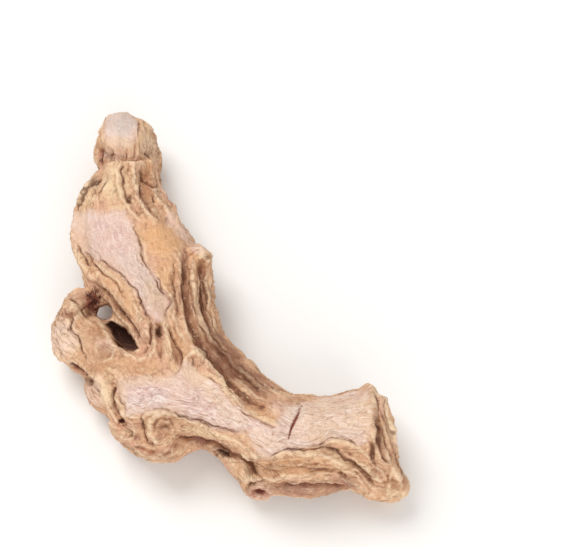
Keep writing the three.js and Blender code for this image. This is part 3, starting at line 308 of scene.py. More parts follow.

# Tones: soft blots of colour, each (right, down, half width, half height, turn in degrees, strength). Some
# of them are painted shade, as marked. CAP is such a blot round the pale cap of the bud, where hollows get
# no painted shade.
CAP = (124, 130, 30, 34, 0, 1.0)
TONES = {
    # Brown: the skin's own stains, and painted shade in the shelf's inner bend, under the front crest and
    # along the lower walls.
    "brown": [
        (99, 335, 10, 11, 0, 0.65), (107, 367, 14, 9, 0, 0.35), (142, 368, 20, 7, 0, 0.2),
        (172, 346, 11, 13, 0, 0.25), (197, 397, 20, 12, 20, 0.25), (205, 428, 26, 7, 14, 0.2),
        (132, 436, 13, 11, 0, 0.25), (158, 455, 20, 7, 0, 0.9), (384, 436, 9, 36, -12, 0.55),
        (228, 364, 16, 20, -38, 1.0), (104, 158, 4, 11, 0, 0.9), (95, 182, 9, 5, -25, 0.8),
        (149, 184, 8, 17, 0, 0.7), (157, 300, 8, 20, -30, 0.6), (147, 128, 5, 5, 0, 0.5),
        (148, 204, 6, 8, -30, 0.5), (91, 305, 8, 11, 10, 0.95), (73, 317, 7, 4, -30, 0.6),
        (104, 352, 11, 10, 0, 0.6), (79, 369, 10, 4, 35, 0.9), (193, 360, 5, 6, 0, 0.55),
        (120, 347, 6, 4, 40, 0.6), (203, 280, 7, 24, 0, 0.9), (201, 315, 9, 28, -12, 1.0),
        (222, 350, 11, 28, -38, 1.15), (254, 382, 10, 28, -52, 1.1), (187, 300, 5, 40, -3, 0.7),
        (174, 292, 6, 22, -3, 0.4), (205, 352, 6, 14, -35, 0.9), (228, 382, 5, 20, -40, 0.8),
        (162, 431, 11, 11, 0, 0.4), (196, 441, 17, 5, 8, 0.9), (222, 452, 12, 6, 15, 0.9),
        (252, 464, 7, 9, 0, 0.7), (116, 408, 4, 14, -12, 0.45), (138, 430, 4, 10, 0, 0.4),
        (145, 451, 10, 4, 12, 0.6), (176, 449, 9, 5, 0, 0.5), (312, 489, 48, 9, 0, 0.5),
        (300, 466, 34, 5, 0, 0.25), (350, 482, 12, 6, 30, 0.7), (372, 450, 4, 12, 0, 0.6),
        (384, 440, 5, 22, -12, 0.4), (404, 470, 6, 20, -12, 0.6), (376, 470, 8, 8, 0, 0.35),
        (152, 332, 4, 10, 0, 0.6), (160, 332, 4, 7, 0, 0.7), (116, 302, 9, 8, 30, 0.55),
        (128, 318, 6, 20, -38, 0.4), (393, 486, 12, 8, 0, 0.45), (286, 402, 20, 4, -5, 0.5),
        (123, 338, 9, 15, -38, 1.0), (270, 395, 12, 4, 25, 0.6),
    ],
    "orange": [
        (99, 335, 10, 10, 0, 0.7), (107, 367, 13, 8, 0, 0.5), (150, 180, 8, 22, 0, 0.8),
        (160, 240, 21, 17, 30, 0.9), (167, 270, 12, 22, -10, 0.55), (112, 192, 14, 14, 0, 0.15),
        (149, 178, 8, 20, 0, 1.0), (203, 300, 8, 24, -6, 0.9), (147, 148, 10, 20, 0, 0.5),
        (262, 410, 20, 8, 25, 0.7), (140, 365, 22, 9, 0, 0.4), (300, 467, 40, 9, 0, 0.5),
        (176, 345, 8, 20, -20, 0.5), (120, 300, 18, 26, -38, 0.35), (196, 275, 9, 26, 0, 0.7),
        (200, 320, 8, 26, -14, 0.6), (165, 405, 14, 5, 0, 0.4), (215, 435, 26, 5, 14, 0.5),
    ],
    # Umber is painted shade: the shelf's inner bend, the recess under the front crest, and holes, dents and
    # furrows.
    "umber_shade": [
        (228, 364, 14, 18, -38, 0.95), (206, 336, 9, 16, -12, 0.3), (378, 432, 4, 24, -10, 0.65),
        (203, 285, 8, 26, 0, 0.1), (200, 318, 9, 28, -12, 0.2), (220, 350, 11, 28, -38, 0.75),
        (246, 378, 9, 24, -52, 0.6), (187, 305, 3, 36, -3, 0.4), (312, 485, 40, 4, 0, 0.2),
        (90, 303, 8, 10, 10, 0.95), (224, 452, 12, 4, 15, 0.5), (372, 452, 3, 10, -8, 0.4),
        (160, 330, 3, 6, 0, 0.5), (184, 280, 3, 22, 0, 0.6), (250, 470, 5, 6, 0, 0.4),
    ],
    "smooth": [
        (114, 186, 14, 20, 0, 0.9), (160, 240, 18, 26, 20, 1.0), (140, 365, 22, 9, 0, 0.7),
        (95, 350, 18, 22, 0, 0.5), (116, 286, 24, 9, 48, 0.9), (120, 205, 16, 6, 0, 0.8),
        (392, 440, 14, 52, -12, 0.9), (225, 350, 14, 50, -40, 0.6), (106, 392, 8, 16, -12, 0.8),
    ],
    "blush": [
        (94, 392, 8, 14, -25, 0.85), (64, 338, 15, 17, 0, 0.9), (172, 221, 8, 7, 40, 0.9),
        (184, 233, 12, 6, 45, 1.0), (197, 248, 10, 5, 48, 1.0), (260, 490, 14, 8, 0, 0.6),
        (112, 156, 12, 6, 0, 0.7), (150, 148, 8, 9, 0, 0.4), (282, 410, 16, 8, 10, 0.5),
        (104, 344, 14, 6, 30, 0.35), (142, 380, 26, 4, -4, 0.5), (380, 400, 5, 14, -8, 0.4),
        (150, 412, 24, 3, 0, 0.3),
    ],
    "cream": [
        (156, 298, 9, 24, -30, 0.65), (230, 414, 16, 8, 32, 0.3), (149, 142, 9, 18, 0, 0.85),
        (88, 194, 9, 16, 25, 0.7), (84, 236, 7, 24, -6, 0.5), (106, 391, 8, 15, -12, 1.0),
        (82, 212, 6, 26, 12, 0.5), (82, 246, 6, 14, -12, 0.6), (115, 184, 14, 18, 0, 0.85),
        (203, 256, 6, 4, 0, 0.9), (200, 352, 8, 4, 30, 0.8), (220, 380, 4, 12, -25, 0.8),
        (234, 398, 7, 4, 30, 0.7), (67, 340, 15, 16, 0, 0.8), (68, 308, 12, 5, -30, 0.8),
        (210, 434, 30, 3.5, 14, 0.8), (376, 400, 4, 16, -6, 0.7), (396, 494, 10, 4, -10, 0.6),
        (387, 432, 5, 16, -14, 0.6), (247, 474, 5, 10, -20, 0.8), (112, 376, 10, 8, 0, 0.5),
        (85, 310, 12, 6, -35, 0.6), (120, 208, 12, 4, 0, 0.5), (150, 458, 22, 4, 8, 0.4),
        (320, 438, 30, 4, 4, 0.4), (327, 484, 8, 4, 0, 0.6), (60, 350, 8, 10, -30, 0.6),
        (128, 432, 7, 6, 0, 0.6), (340, 456, 20, 4, 18, 0.5),
    ],
    # Mauve: the peeled faces' own streaks, and painted shade in the recess under the front crest, where it
    # meets brown.
    "mauve": [
        (310, 490, 46, 8, 0, 0.95), (345, 481, 16, 5, 25, 0.8), (148, 396, 24, 12, -6, 0.6),
        (200, 405, 24, 10, 20, 0.35), (240, 418, 26, 10, 24, 0.5), (110, 236, 28, 20, 25, 0.35),
        (95, 400, 8, 16, -30, 0.8), (258, 490, 14, 9, 0, 0.9), (205, 440, 16, 4, 10, 0.6),
        (160, 310, 8, 14, -15, 0.35), (378, 500, 24, 4, 12, 0.6), (188, 235, 8, 5, 40, 0.35),
    ],
    "rust": [
        (259, 490, 11, 7, 0, 0.9), (112, 156, 5, 2.5, 0, 0.45), (119, 155, 3, 2, 0, 0.35),
        (145, 451, 8, 3, 12, 0.7), (101, 157, 3, 9, 0, 0.6), (90, 302, 8, 9, 0, 0.9),
        (150, 180, 6, 12, 0, 0.4), (80, 372, 10, 3, 35, 0.7), (210, 441, 14, 4, 10, 0.4),
        (66, 318, 5, 2, -20, 0.5), (72, 313, 8, 2, -25, 0.4), (140, 196, 6, 6, 0, 0.4),
        (122, 424, 5, 6, 0, 0.5), (330, 486, 26, 4, 0, 0.4), (116, 304, 3, 5, 0, 0.4),
        (145, 150, 6, 9, 0, 0.4),
    ],
    "ash": [
        (121, 122, 17, 15, 0, 0.7), (150, 290, 9, 26, -30, 0.4), (128, 262, 20, 9, 30, 0.3),
        (193, 359, 5, 6, 0, 0.5), (296, 412, 10, 8, 0, 0.3), (150, 400, 26, 8, -4, 0.3),
        (232, 416, 20, 9, 32, 0.35),
    ],
    "straw": [
        (330, 418, 40, 24, -8, 0.6), (262, 440, 22, 10, 20, 0.35), (196, 376, 16, 10, 30, 0.8),
        (214, 396, 16, 8, 40, 0.5), (368, 415, 10, 26, -5, 0.9), (148, 380, 26, 6, -4, 0.6),
        (132, 214, 8, 6, 0, 0.5), (142, 250, 5, 14, -10, 0.4), (285, 410, 10, 6, 0, 0.5),
        (234, 414, 22, 10, 32, 0.4), (330, 440, 30, 5, 4, 0.5), (122, 396, 5, 12, -8, 0.5),
        (120, 145, 20, 8, 0, 0.75),
    ],
}


def smoothstep(low, high, value):
    """0 below low, 1 above high, and t*t*(3 - 2t) between them, where t is the share of the way."""
    t = np.clip((value - low) / (high - low), 0.0, 1.0)
    return t * t * (3.0 - 2.0 * t)


def gradient_noise(places, seed):
    """Each whole-number corner holds a random direction. The noise is the dot product of each of the eight
    corners' directions with the way from that corner, blended by 6t^5 - 15t^4 + 10t^3 on each axis."""
    dice = np.random.default_rng(seed)
    shuffled = dice.permutation(256)
    directions = dice.normal(size=(256, 3))
    directions /= np.linalg.norm(directions, axis=1)[:, None]
    cell = np.floor(places).astype(np.int64)
    inside = places - cell
    fade = inside ** 3 * (inside * (inside * 6.0 - 15.0) + 10.0)
    total = np.zeros(len(places))
    for corner in np.ndindex(2, 2, 2):
        x, y, z = (cell + corner).T & 255
        picked = directions[shuffled[(shuffled[(shuffled[x] + y) & 255] + z) & 255]]
        share = np.prod(np.where(np.array(corner) == 1, fade, 1.0 - fade), axis=1)
        total += share * np.einsum("ij,ij->i", picked, inside - corner)
    return total * 1.6


def layered_noise(places, seed, layers=3):
    """Sum of noises, each twice as fine and half as strong as the one before."""
    return sum(gradient_noise(places * 2.0 ** k, seed + k) * 0.5 ** k for k in range(layers))


def edges_of(faces):
    """Each edge once, by its lower and higher corner, and for each face the numbers of its three edges."""
    pairs = np.sort(np.stack([faces, np.roll(faces, -1, axis=1)], axis=2), axis=2).reshape(-1, 2)
    keys, number = np.unique(pairs[:, 0] * (faces.max() + 1) + pairs[:, 1], return_inverse=True)
    return np.stack([keys // (faces.max() + 1), keys % (faces.max() + 1)], axis=1), number.reshape(-1, 3)


def summed(index, values, count):
    """Adds up rows of values that share an index."""
    return np.stack([np.bincount(index, values[:, k], count) for k in range(values.shape[1])], axis=1)


def round_off(points, faces):
    """Loop's scheme: every face becomes four. A new corner is 3/8 of each end of its edge and 1/8 of each
    of the two opposite corners. An old corner with n neighbours keeps 1 - n*b and takes b of each
    neighbour, where b = (5/8 - (3/8 + cos(2 pi / n) / 4)^2) / n."""
    edges, number = edges_of(faces)
    opposite = summed(number.ravel(), points[np.roll(faces, -2, axis=1).ravel()], len(edges))
    fresh = 0.375 * (points[edges[:, 0]] + points[edges[:, 1]]) + 0.125 * opposite
    ends = np.concatenate([edges[:, 0], edges[:, 1]])
    around = summed(ends, points[np.concatenate([edges[:, 1], edges[:, 0]])], len(points))
    valence = np.bincount(ends, minlength=len(points))[:, None]
    share = (0.625 - (0.375 + 0.25 * np.cos(2 * np.pi / valence)) ** 2) / valence
    middle = number + len(points)
    a, b, c = faces.T
    ab, bc, ca = middle.T
    quarters = ((a, ab, ca), (ab, b, bc), (ca, bc, c), (ab, bc, ca))
    split = np.concatenate([np.stack(quarter, axis=1) for quarter in quarters])
    return np.concatenate([points * (1 - valence * share) + around * share, fresh]), split


def split_long_edges(points, faces):
    """Cuts every edge in the middle that is longer than SEEN_EDGE, or than HIDDEN_EDGE where the skin faces
    away from the camera. A face with one, two or three cut edges becomes two, three or four."""
    edges, number = edges_of(faces)
    start, end = points[edges[:, 0]], points[edges[:, 1]]
    towards = (outward(points, faces) @ TO_CAMERA)[edges].max(axis=1)
    cut = np.linalg.norm(end - start, axis=1) > np.where(towards > -0.05, SEEN_EDGE, HIDDEN_EDGE)
    fresh = np.where(cut, np.cumsum(cut) - 1 + len(points), -1)[number]
    marked = (fresh >= 0).sum(axis=1)
    done = [faces[marked == 0]]
    for cuts in (1, 2, 3):
        face, new = faces[marked == cuts], fresh[marked == cuts]
        first = np.argmax(new >= 0, axis=1) if cuts == 1 else np.argmax(new < 0, axis=1) if cuts == 2 else 0
        turn = (np.arange(3)[None] + np.reshape(first, (-1, 1))) % 3 * np.ones((len(face), 1), int)
        (a, b, c), (ab, bc, ca) = np.take_along_axis(face, turn, 1).T, np.take_along_axis(new, turn, 1).T
        parts = {1: ((a, ab, c), (ab, b, c)), 2: ((a, b, bc), (a, bc, ca), (bc, c, ca)),
                 3: ((a, ab, ca), (ab, b, bc), (ca, bc, c), (ab, bc, ca))}[cuts]
        done += [np.stack(part, axis=1) for part in parts]
    return np.concatenate([points, (start + end)[cut] / 2]), np.concatenate(done)


def outward(points, faces):
    """Unit normal at each corner: the area vectors of its faces, added up."""
    a, b, c = points[faces.T]
    area = np.cross(b - a, c - a)
    total = summed(faces.T.ravel(), np.concatenate([area, area, area]), len(points))
    return total / np.maximum(np.linalg.norm(total, axis=1), 1e-12)[:, None]


def neighbours_mean(values, edges):
    """For each corner the mean of its neighbours' values."""
    ends = np.concatenate([edges[:, 0], edges[:, 1]])
    others = np.concatenate([edges[:, 1], edges[:, 0]])
    return summed(ends, values[others], len(values)) / np.bincount(ends, minlength=len(values))[:, None]


def evened(values, edges, rounds):
    """Moves each value half way to the mean of its neighbours, a number of times."""
    for _ in range(rounds):
        values = (values + neighbours_mean(values, edges)) / 2
    return values


def on_picture(points):
    """Where points in mm fall on the picture, in pixels: place = middle + offset * lens / depth."""
    offset = points - CAMERA_AT
    scale = LENS / -(offset @ TO_CAMERA) * PICTURE[0] / SENSOR
    right = PICTURE[0] / 2 + offset[:, 0] * scale
    down = PICTURE[1] / 2 - offset @ UPWARDS * scale
    return np.stack([right, down], axis=1)


def to_line(places, line):
    """Least distance from places to a line of straight pieces, how far along the line that is, 0 to 1, and
    the side of the line, 1 or -1, by the sign of the cross product."""
    line = np.array(line, float)
    lengths = np.linalg.norm(np.diff(line, axis=0), axis=1)
    starts = np.concatenate([[0.0], np.cumsum(lengths)])
    best, along, side = np.full(len(places), FAR_AWAY), np.zeros(len(places)), np.ones(len(places))
    for start, end, length, before in zip(line[:-1], line[1:], lengths, starts):
        ahead, offset = end - start, places - start
        share = np.clip(offset @ ahead / length ** 2, 0.0, 1.0)
        away = np.linalg.norm(offset - share[:, None] * ahead, axis=1)
        nearer = away < best
        along = np.where(nearer, (before + share * length) / starts[-1], along)
        side = np.where(nearer, np.sign(ahead[0] * offset[:, 1] - ahead[1] * offset[:, 0]), side)
        best = np.minimum(best, away)
    return best, along, side


def depth_in_outline(places, outline):
    """Distance to a closed outline, above 0 inside: a place is inside if a ray from it crosses the outline
    an odd number of times."""
    ring = np.array(outline + outline[:1], float)
    away, _, _ = to_line(places, ring)
    inside = np.zeros(len(places), bool)
    for (x0, y0), (x1, y1) in zip(ring[:-1], ring[1:]):
        spans = (y0 > places[:, 1]) != (y1 > places[:, 1])
        inside ^= spans & (places[:, 0] < (x1 - x0) * (places[:, 1] - y0) / (y1 - y0 + 1e-12) + x0)
    return np.where(inside, away, -away)


def blots(places, rows, rough=1.0):
    """Soft ellipses: strength times 1 - smoothstep of the turned and scaled distance from each centre,
    which rough widens and narrows."""
    total = np.zeros(len(places))
    for x, y, wide, tall, turn, strength in rows:
        dx, dy = places[:, 0] - x, places[:, 1] - y
        c, s = math.cos(math.radians(turn)), math.sin(math.radians(turn))
        far = np.hypot((dx * c + dy * s) / wide, (dy * c - dx * s) / tall) * rough
        total = np.maximum(total, strength * (1 - smoothstep(0.55, 1.3, far)))
    return total


def along_limb(points, stations):
    """A limb's own measures: mm along its spine, the cosine and sine of the angle round its section, and
    how far out of its oval (1 is the skin). The spine is a cubic through the stations: for a share t
    between stations b and c, ((2b) + (c - a)t + (2a - 5b + 4c - d)t^2 + (3b - a - 3c + d)t^3) / 2. Between
    the spine's own points, heights and half sizes are carried on in a straight line."""
    s = np.array(stations)
    s = np.concatenate([[2 * s[0] - s[1]], s, [2 * s[-1] - s[-2]]])
    t = np.linspace(0, 1, 12, endpoint=False)[None, :, None]
    a, b, c, d = (s[k:len(s) - 3 + k, None, :] for k in range(4))
    way = (2 * b + (c - a) * t + (2 * a - 5 * b + 4 * c - d) * t ** 2
           + (3 * b - a - 3 * c + d) * t ** 3) / 2
    way = np.concatenate([way.reshape(-1, 5), s[None, -2]])
    reach = np.concatenate([[0.0], np.cumsum(np.linalg.norm(np.diff(way[:, :2], axis=0), axis=1))])
    slope = np.gradient(way, axis=0) / np.gradient(reach)[:, None]
    nearest = np.argmin(((points[:, None, :2] - way[None, :, :2]) ** 2).sum(axis=2), axis=1)
    offset, ahead = points[:, :2] - way[nearest, :2], slope[nearest, :2]
    forward = np.clip(np.einsum("ij,ij->i", offset, ahead), -6.0, 6.0)
    height, wide, tall = (way[nearest, 2:] + forward.clip(-0.5, 0.5)[:, None] * slope[nearest, 2:]).T
    side = (offset[:, 0] * ahead[:, 1] - offset[:, 1] * ahead[:, 0]) / wide
    up = (points[:, 2] - height) / tall
    out = np.sqrt(side ** 2 + up ** 2)
    return reach[nearest] + forward, side / out, up / out, np.hypot(out, forward / 4.0)


# The skin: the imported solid's own surface, its loose triangles joined, rounded off and split finely.
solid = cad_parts["rhizome"].data
loose = np.empty(len(solid.vertices) * 3)
solid.vertices.foreach_get("co", loose)
corners = np.empty(len(solid.loops), np.int64)
solid.loops.foreach_get("vertex_index", corners)
loose = loose.reshape(-1, 3)
snapped = np.round(loose / MM * SNAPS_PER_MM)
_, first, joined = np.unique(snapped, axis=0, return_index=True, return_inverse=True)
points = loose[first] / MM
faces = joined.ravel()[corners].reshape(-1, 3)
points, faces = round_off(points, faces)
for _ in range(SPLIT_ROUNDS):
    points, faces = split_long_edges(points, faces)
edges, _ = edges_of(faces)
# Evened, and then moved back by what a second evening takes, so that facets go and the form stays.
calm = evened(points, edges, FACET_ROUNDS)
points = 2 * calm - evened(calm, edges, FACET_ROUNDS)
resting = 1 - smoothstep(*RESTING_HEIGHTS, points[:, 2])
normals = evened(outward(points, faces), edges, RISE_ROUNDS)
normals /= np.linalg.norm(normals, axis=1)[:, None]

# Where the skin faces the camera, and its wandering place on the picture, so that no line runs smooth.
facing = smoothstep(*FACING_COSINES, normals @ TO_CAMERA)
stray = np.stack([layered_noise(points * 0.3, 11, 2), layered_noise(points * 0.3, 21, 2)], axis=1) * 2.0
stray += np.stack([gradient_noise(points, 31), gradient_noise(points, 41)], axis=1) * 0.7
places = on_picture(points) + stray

# The limbs' measures, and how much each corner belongs to each limb.
limbs = [along_limb(points, stations) for stations in (ARM, RUN, LOBE)]
belongs = np.exp(-np.stack([limb[3] for limb in limbs], axis=1) * LIMB_SHARPNESS)
belongs /= belongs.sum(axis=1)[:, None]
warp = layered_noise(points * 0.22, 51)


def fibrous(rate_along, rate_round, seed, bend=0.0):
    """Noise stretched along the limbs: its rates per mm along and round, each limb's blended by its share.
    Its places lie on a tube of radius GIRTH round each spine, so it meets itself all the way round, and
    bend is how far they wander."""
    total = np.zeros(len(points))
    for k, (along, cosine, sine, _) in enumerate(limbs):
        lengthwise = along * rate_along + warp * bend + k * LIMB_SPACING
        across = (cosine * rate_round + warp * bend * 0.15) * GIRTH
        spots = np.stack([lengthwise, across, sine * rate_round * GIRTH], axis=1)
        total += belongs[:, k] * gradient_noise(spots, seed)
    return total


# Peeled faces, ragged at the edge: those on the picture, and long ones on the side that lies down. In
# places the edge is crisp, and in others the skin thins out over a millimetre or two. The brink is the
# distance in pixels to such an edge, above 0 on the peeled side.
ragged = layered_noise(points * 0.45, 61) * 2.6 + fibrous(0.12, 1.0, 71, 0.6) * 1.8
crisp = smoothstep(-0.25, 0.3, layered_noise(points * 0.16, 65, 2)) * (1 - blots(places, SOFT_EDGES))
peeled = np.zeros(len(points))
brink = np.full(len(points), FAR_AWAY)
blend = 1.0 + 3.6 * (1 - crisp)
for outline in PEELED.values():
    depth = depth_in_outline(places, outline) + ragged * 0.7
    peeled = np.maximum(peeled, smoothstep(-blend, blend, depth) * facing)
    brink = np.where(np.abs(depth) < np.abs(brink), depth, brink)
downwards = -evened(normals[:, 2:], edges, LIE_ROUNDS)[:, 0]
depth = (downwards + fibrous(0.035, 0.09, 221, 0.4) * 1.1 - PEELED_LIE) * LIE_TO_PIXELS + ragged
peeled = np.maximum(peeled, smoothstep(-blend, blend, depth) * (1 - facing))
brink = np.where(facing > SEEN, brink, depth)
bark = 1 - peeled

# Relief in mm. Long folds and finer wrinkles run along the limbs, strongest on the flanks and underneath.
# They are half as high on the side that the picture shows, where LINES gives the folds.
flank = smoothstep(0.12, 0.7, 1 - np.abs(normals[:, 2]))
fold = smoothstep(0.0, 1.0, 1 - np.abs(fibrous(0.045, 0.25, 81, 0.9)) * 2.4)
wrinkle = smoothstep(0.0, 1.0, 1 - np.abs(fibrous(0.08, 0.62, 91, 1.1)) * 2.2)
hairline = fibrous(0.14, 1.5, 95, 0.9)
crumple = layered_noise(points * 0.42, 101, 3)
drawn = 1 - 0.5 * facing
flank = np.maximum(flank, 0.6 * smoothstep(0.3, 0.8, -normals[:, 2]))
smooth = np.clip(blots(places, TONES["orange"]) + blots(places, TONES["smooth"]), 0, 1) * facing
relief = bark * drawn * (1 - 0.75 * smooth) * (
    (fold - 0.45) * (FOLD + FOLD_ON_FLANK * flank)
    + (wrinkle - 0.45) * (WRINKLE + WRINKLE_ON_FLANK * flank))
relief += (bark * (crumple * CRUMPLE + hairline * (HAIRLINE + HAIRLINE_ON_FLANK * flank))
           + peeled * (crumple * CRUMPLE_PEELED + hairline * HAIRLINE_PEELED))
# The skin's own thickness, with a furrow along its cut edge and a low curl beside that.
relief += bark * SKIN_EDGE - SKIN_EDGE * np.exp(-((brink + 0.3) / 1.2) ** 2) * crisp
relief += CURL * np.exp(-((brink + 2.4) / 1.6) ** 2) * crisp

# Swellings, on the side that faces their way.
for *centre, radius, rise, way in SWELLINGS:
    near = np.exp(-((points - np.array(centre)) ** 2).sum(axis=1) / radius ** 2)
    relief += rise * near * np.clip(normals @ np.array(way), 0, 1)

# The ridges and furrows of LINES: each has its height times exp(-(distance / half width)^2), and runs out
# at its ends.
# These shapes also feed the painted highlight on ridges and the painted shade in furrows.
ridge = np.zeros(len(points))
groove = np.zeros(len(points))
waver = np.clip(0.8 + 0.5 * layered_noise(points * 0.3, 119, 2), 0.5, 1.2)
for height, width, line in LINES:
    away, share, _ = to_line(places, line)
    ends = smoothstep(0.0, 0.15, share) * (1 - smoothstep(0.85, 1.0, share)) if line[0] != line[-1] else 1.0
    shape = np.exp(-(away / width) ** 2) * (0.2 + 0.8 * ends) * facing * waver
    relief += LINE_GAIN * height * shape
    if height > 0:
        ridge = np.maximum(ridge, shape * min(1.0, height * 2.2))
    else:
        groove = np.maximum(groove, shape * min(1.0, -height * 2.0))

# Dark lines finer than the skin's own mesh: painted shade in the furrows, darker the deeper the furrow, and
# real dark scratches. Each corner keeps the distance in pixels to its nearest line, above 0 on one side of
# it and below 0 on the other, and how strong that line is.
furrow_shade_and_scratch = np.zeros(len(points))
line_offset = np.full(len(points), float(LINE_REACH))
patchy = smoothstep(-0.35, 0.25, layered_noise(points * 0.5, 135, 2))
furrows = [(min(1.0, 0.15 - height * 1.9), line) for height, _, line in LINES if height < 0]
for strength, line in furrows + [(0.4, line) for line in SCRATCHES]:
    away, share, side = to_line(places + stray * 0.6, line)
    ends = smoothstep(0.0, 0.12, share) * (1 - smoothstep(0.88, 1.0, share))
    shown = strength * np.exp(-(away / INK_REACH) ** 2) * ends * facing * patchy
    line_offset = np.where(shown > furrow_shade_and_scratch, np.clip(away * side, -LINE_REACH, LINE_REACH), line_offset)
    furrow_shade_and_scratch = np.maximum(furrow_shade_and_scratch, shown)

# The crack is up to 1.4 pixels wide each way, and narrow at its ends.
away, share, _ = to_line(on_picture(points) + stray * 0.6, CRACK)
half_width = 0.4 + np.sin(np.pi * np.clip(share, 0.02, 0.98)) ** 2
crack = np.exp(-(away / half_width) ** 2) * facing
relief -= CRACK_DEPTH * crack

# Holes and dents, with a rough rim, and painted shade in them, darker the deeper they are.
pit_and_shade = np.zeros(len(points))
rough = 1 + 0.35 * gradient_noise(points * 1.2, 191)
for x, y, wide, tall, turn, depth in HOLES:
    shape = blots(places, [(x, y, wide, tall, turn, 1.0)], rough) * facing
    relief -= depth * shape
    pit_and_shade = np.maximum(pit_and_shade, shape * min(1.0, depth * 1.3))

# The slot behind the lobe is a deep gap with painted dark shade inside it, and the hole at its end opens a
# little wider.
slot_and_shade = smoothstep(-1.6, 1.4, depth_in_outline(places, SLOT)) * facing
points -= TO_CAMERA * (slot_and_shade * SLOT_DEPTH)[:, None]
from_hole = points[:, :2] - THROUGH_HOLE + HOLE_LEAN * (points[:, 2:] - HOLE_HEIGHT)
relief -= HOLE_FLARE * (1 - smoothstep(2.2, 3.4, np.linalg.norm(from_hole, axis=1)))

# The last of the relief fades out on the flats that the root rests on.
points += normals * (relief * (1 - resting))[:, None]
points[:, 2] = np.maximum(points[:, 2], 0.0)
normals = outward(points, faces)

# Hollows and crests, read off the finished skin: how far a corner lies below the evened skin around it.
# Hollows take painted shade and crests a painted highlight.
fine = np.einsum("ij,ij->i", evened(points, edges, FINE_ROUNDS) - points, normals)
broad = np.einsum("ij,ij->i", evened(points, edges, BROAD_ROUNDS) - points, normals)
hollow_shade = np.clip(smoothstep(0.01, 0.11, fine) * 0.7 + smoothstep(0.05, 0.5, broad) * 0.75, 0, 1)
crest_highlight = np.clip(smoothstep(0.01, 0.1, -fine) * 0.6 + smoothstep(0.05, 0.4, -broad) * 0.5, 0, 1)

# The edge of the peeled faces carries a thin dark line too, in places.
in_places = smoothstep(-0.3, 0.3, layered_noise(points * 0.4, 131, 2) + 0.1)
seam = np.exp(-(brink / INK_REACH) ** 2) * crisp * np.where(facing > SEEN, facing, 1.0) * in_places

measures = {
    "peeled": peeled,
    # Painted shade in hollows and furrows, and a painted highlight on crests and ridges.
    "hollow_shade": np.clip(np.maximum(hollow_shade, groove * 0.75), 0, 1),
    "crest_highlight": np.clip(np.maximum(crest_highlight, ridge * 0.6), 0, 1) * (1 - groove),
    "seam": np.clip(seam, 0, 1),
    "brink": np.clip(brink + 0.3, -LINE_REACH, LINE_REACH),
    # Painted shade in the furrows' dark lines, and the real scratches.
    "furrow_shade_and_scratch": furrow_shade_and_scratch,
    "line": line_offset,
    # Painted shade in holes and dents, and further down in the slot.
    "pit_and_shade": pit_and_shade,
    "crack": crack,
    "slot_and_shade": np.clip(slot_and_shade * 1.3 - 0.2, 0, 1),
    "streaky": 0.3 + 0.7 * belongs[:, 1],
    "cap": blots(places, [CAP]),
}
for tone, rows in TONES.items():
    spotted = blots(places, rows) * facing
    measures[tone] = np.clip(spotted + layered_noise(points * 0.7, 141) * spotted * 0.5, 0, 1)
# Away from the picture the tones come in drifts of their own: where their noise passes lowest, at a rate
# per mm, with a seed and a strength.
DRIFTS = {
    "brown": (0.1, 0.16, 151, 0.6),
    "orange": (0.0, 0.13, 161, 0.6),
    "cream": (0.1, 0.15, 171, 0.5),
    "mauve": (0.1, 0.14, 181, 0.4),
}
for tone, (lowest, rate, seed, strength) in DRIFTS.items():
    drift = (1 - facing) * smoothstep(lowest, 0.6, layered_noise(points * rate, seed)) * strength
    measures[tone] = np.clip(measures[tone] + drift, 0, 1)

skin = bpy.data.meshes.new("dried_rhizome")
skin.vertices.add(len(points))
skin.loops.add(len(faces) * 3)
skin.polygons.add(len(faces))
skin.vertices.foreach_set("co", (points * MM).astype(np.float32).ravel())
skin.loops.foreach_set("vertex_index", faces.astype(np.int32).ravel())
skin.polygons.foreach_set("loop_start", np.arange(0, len(faces) * 3, 3, dtype=np.int32))
skin.update(calc_edges=True)
skin.validate()
skin.polygons.foreach_set("use_smooth", np.ones(len(faces), bool))
stored = dict(measures)
for k, limb in enumerate(LIMB_NAMES):
    along, cosine, sine, _ = limbs[k]
    stored[limb + "_fibres"] = np.stack([along + warp * 3, cosine * GIRTH + warp, sine * GIRTH], axis=1)
    stored[limb + "_share"] = belongs[:, k]
for name, values in stored.items():
    kind, field = ("FLOAT_VECTOR", "vector") if values.ndim == 2 else ("FLOAT", "value")
    skin.attributes.new(name, kind, "POINT").data.foreach_set(field, values.astype(np.float32).ravel())
root = bpy.data.objects.new("dried_rhizome", skin)
bpy.context.scene.collection.objects.link(root)


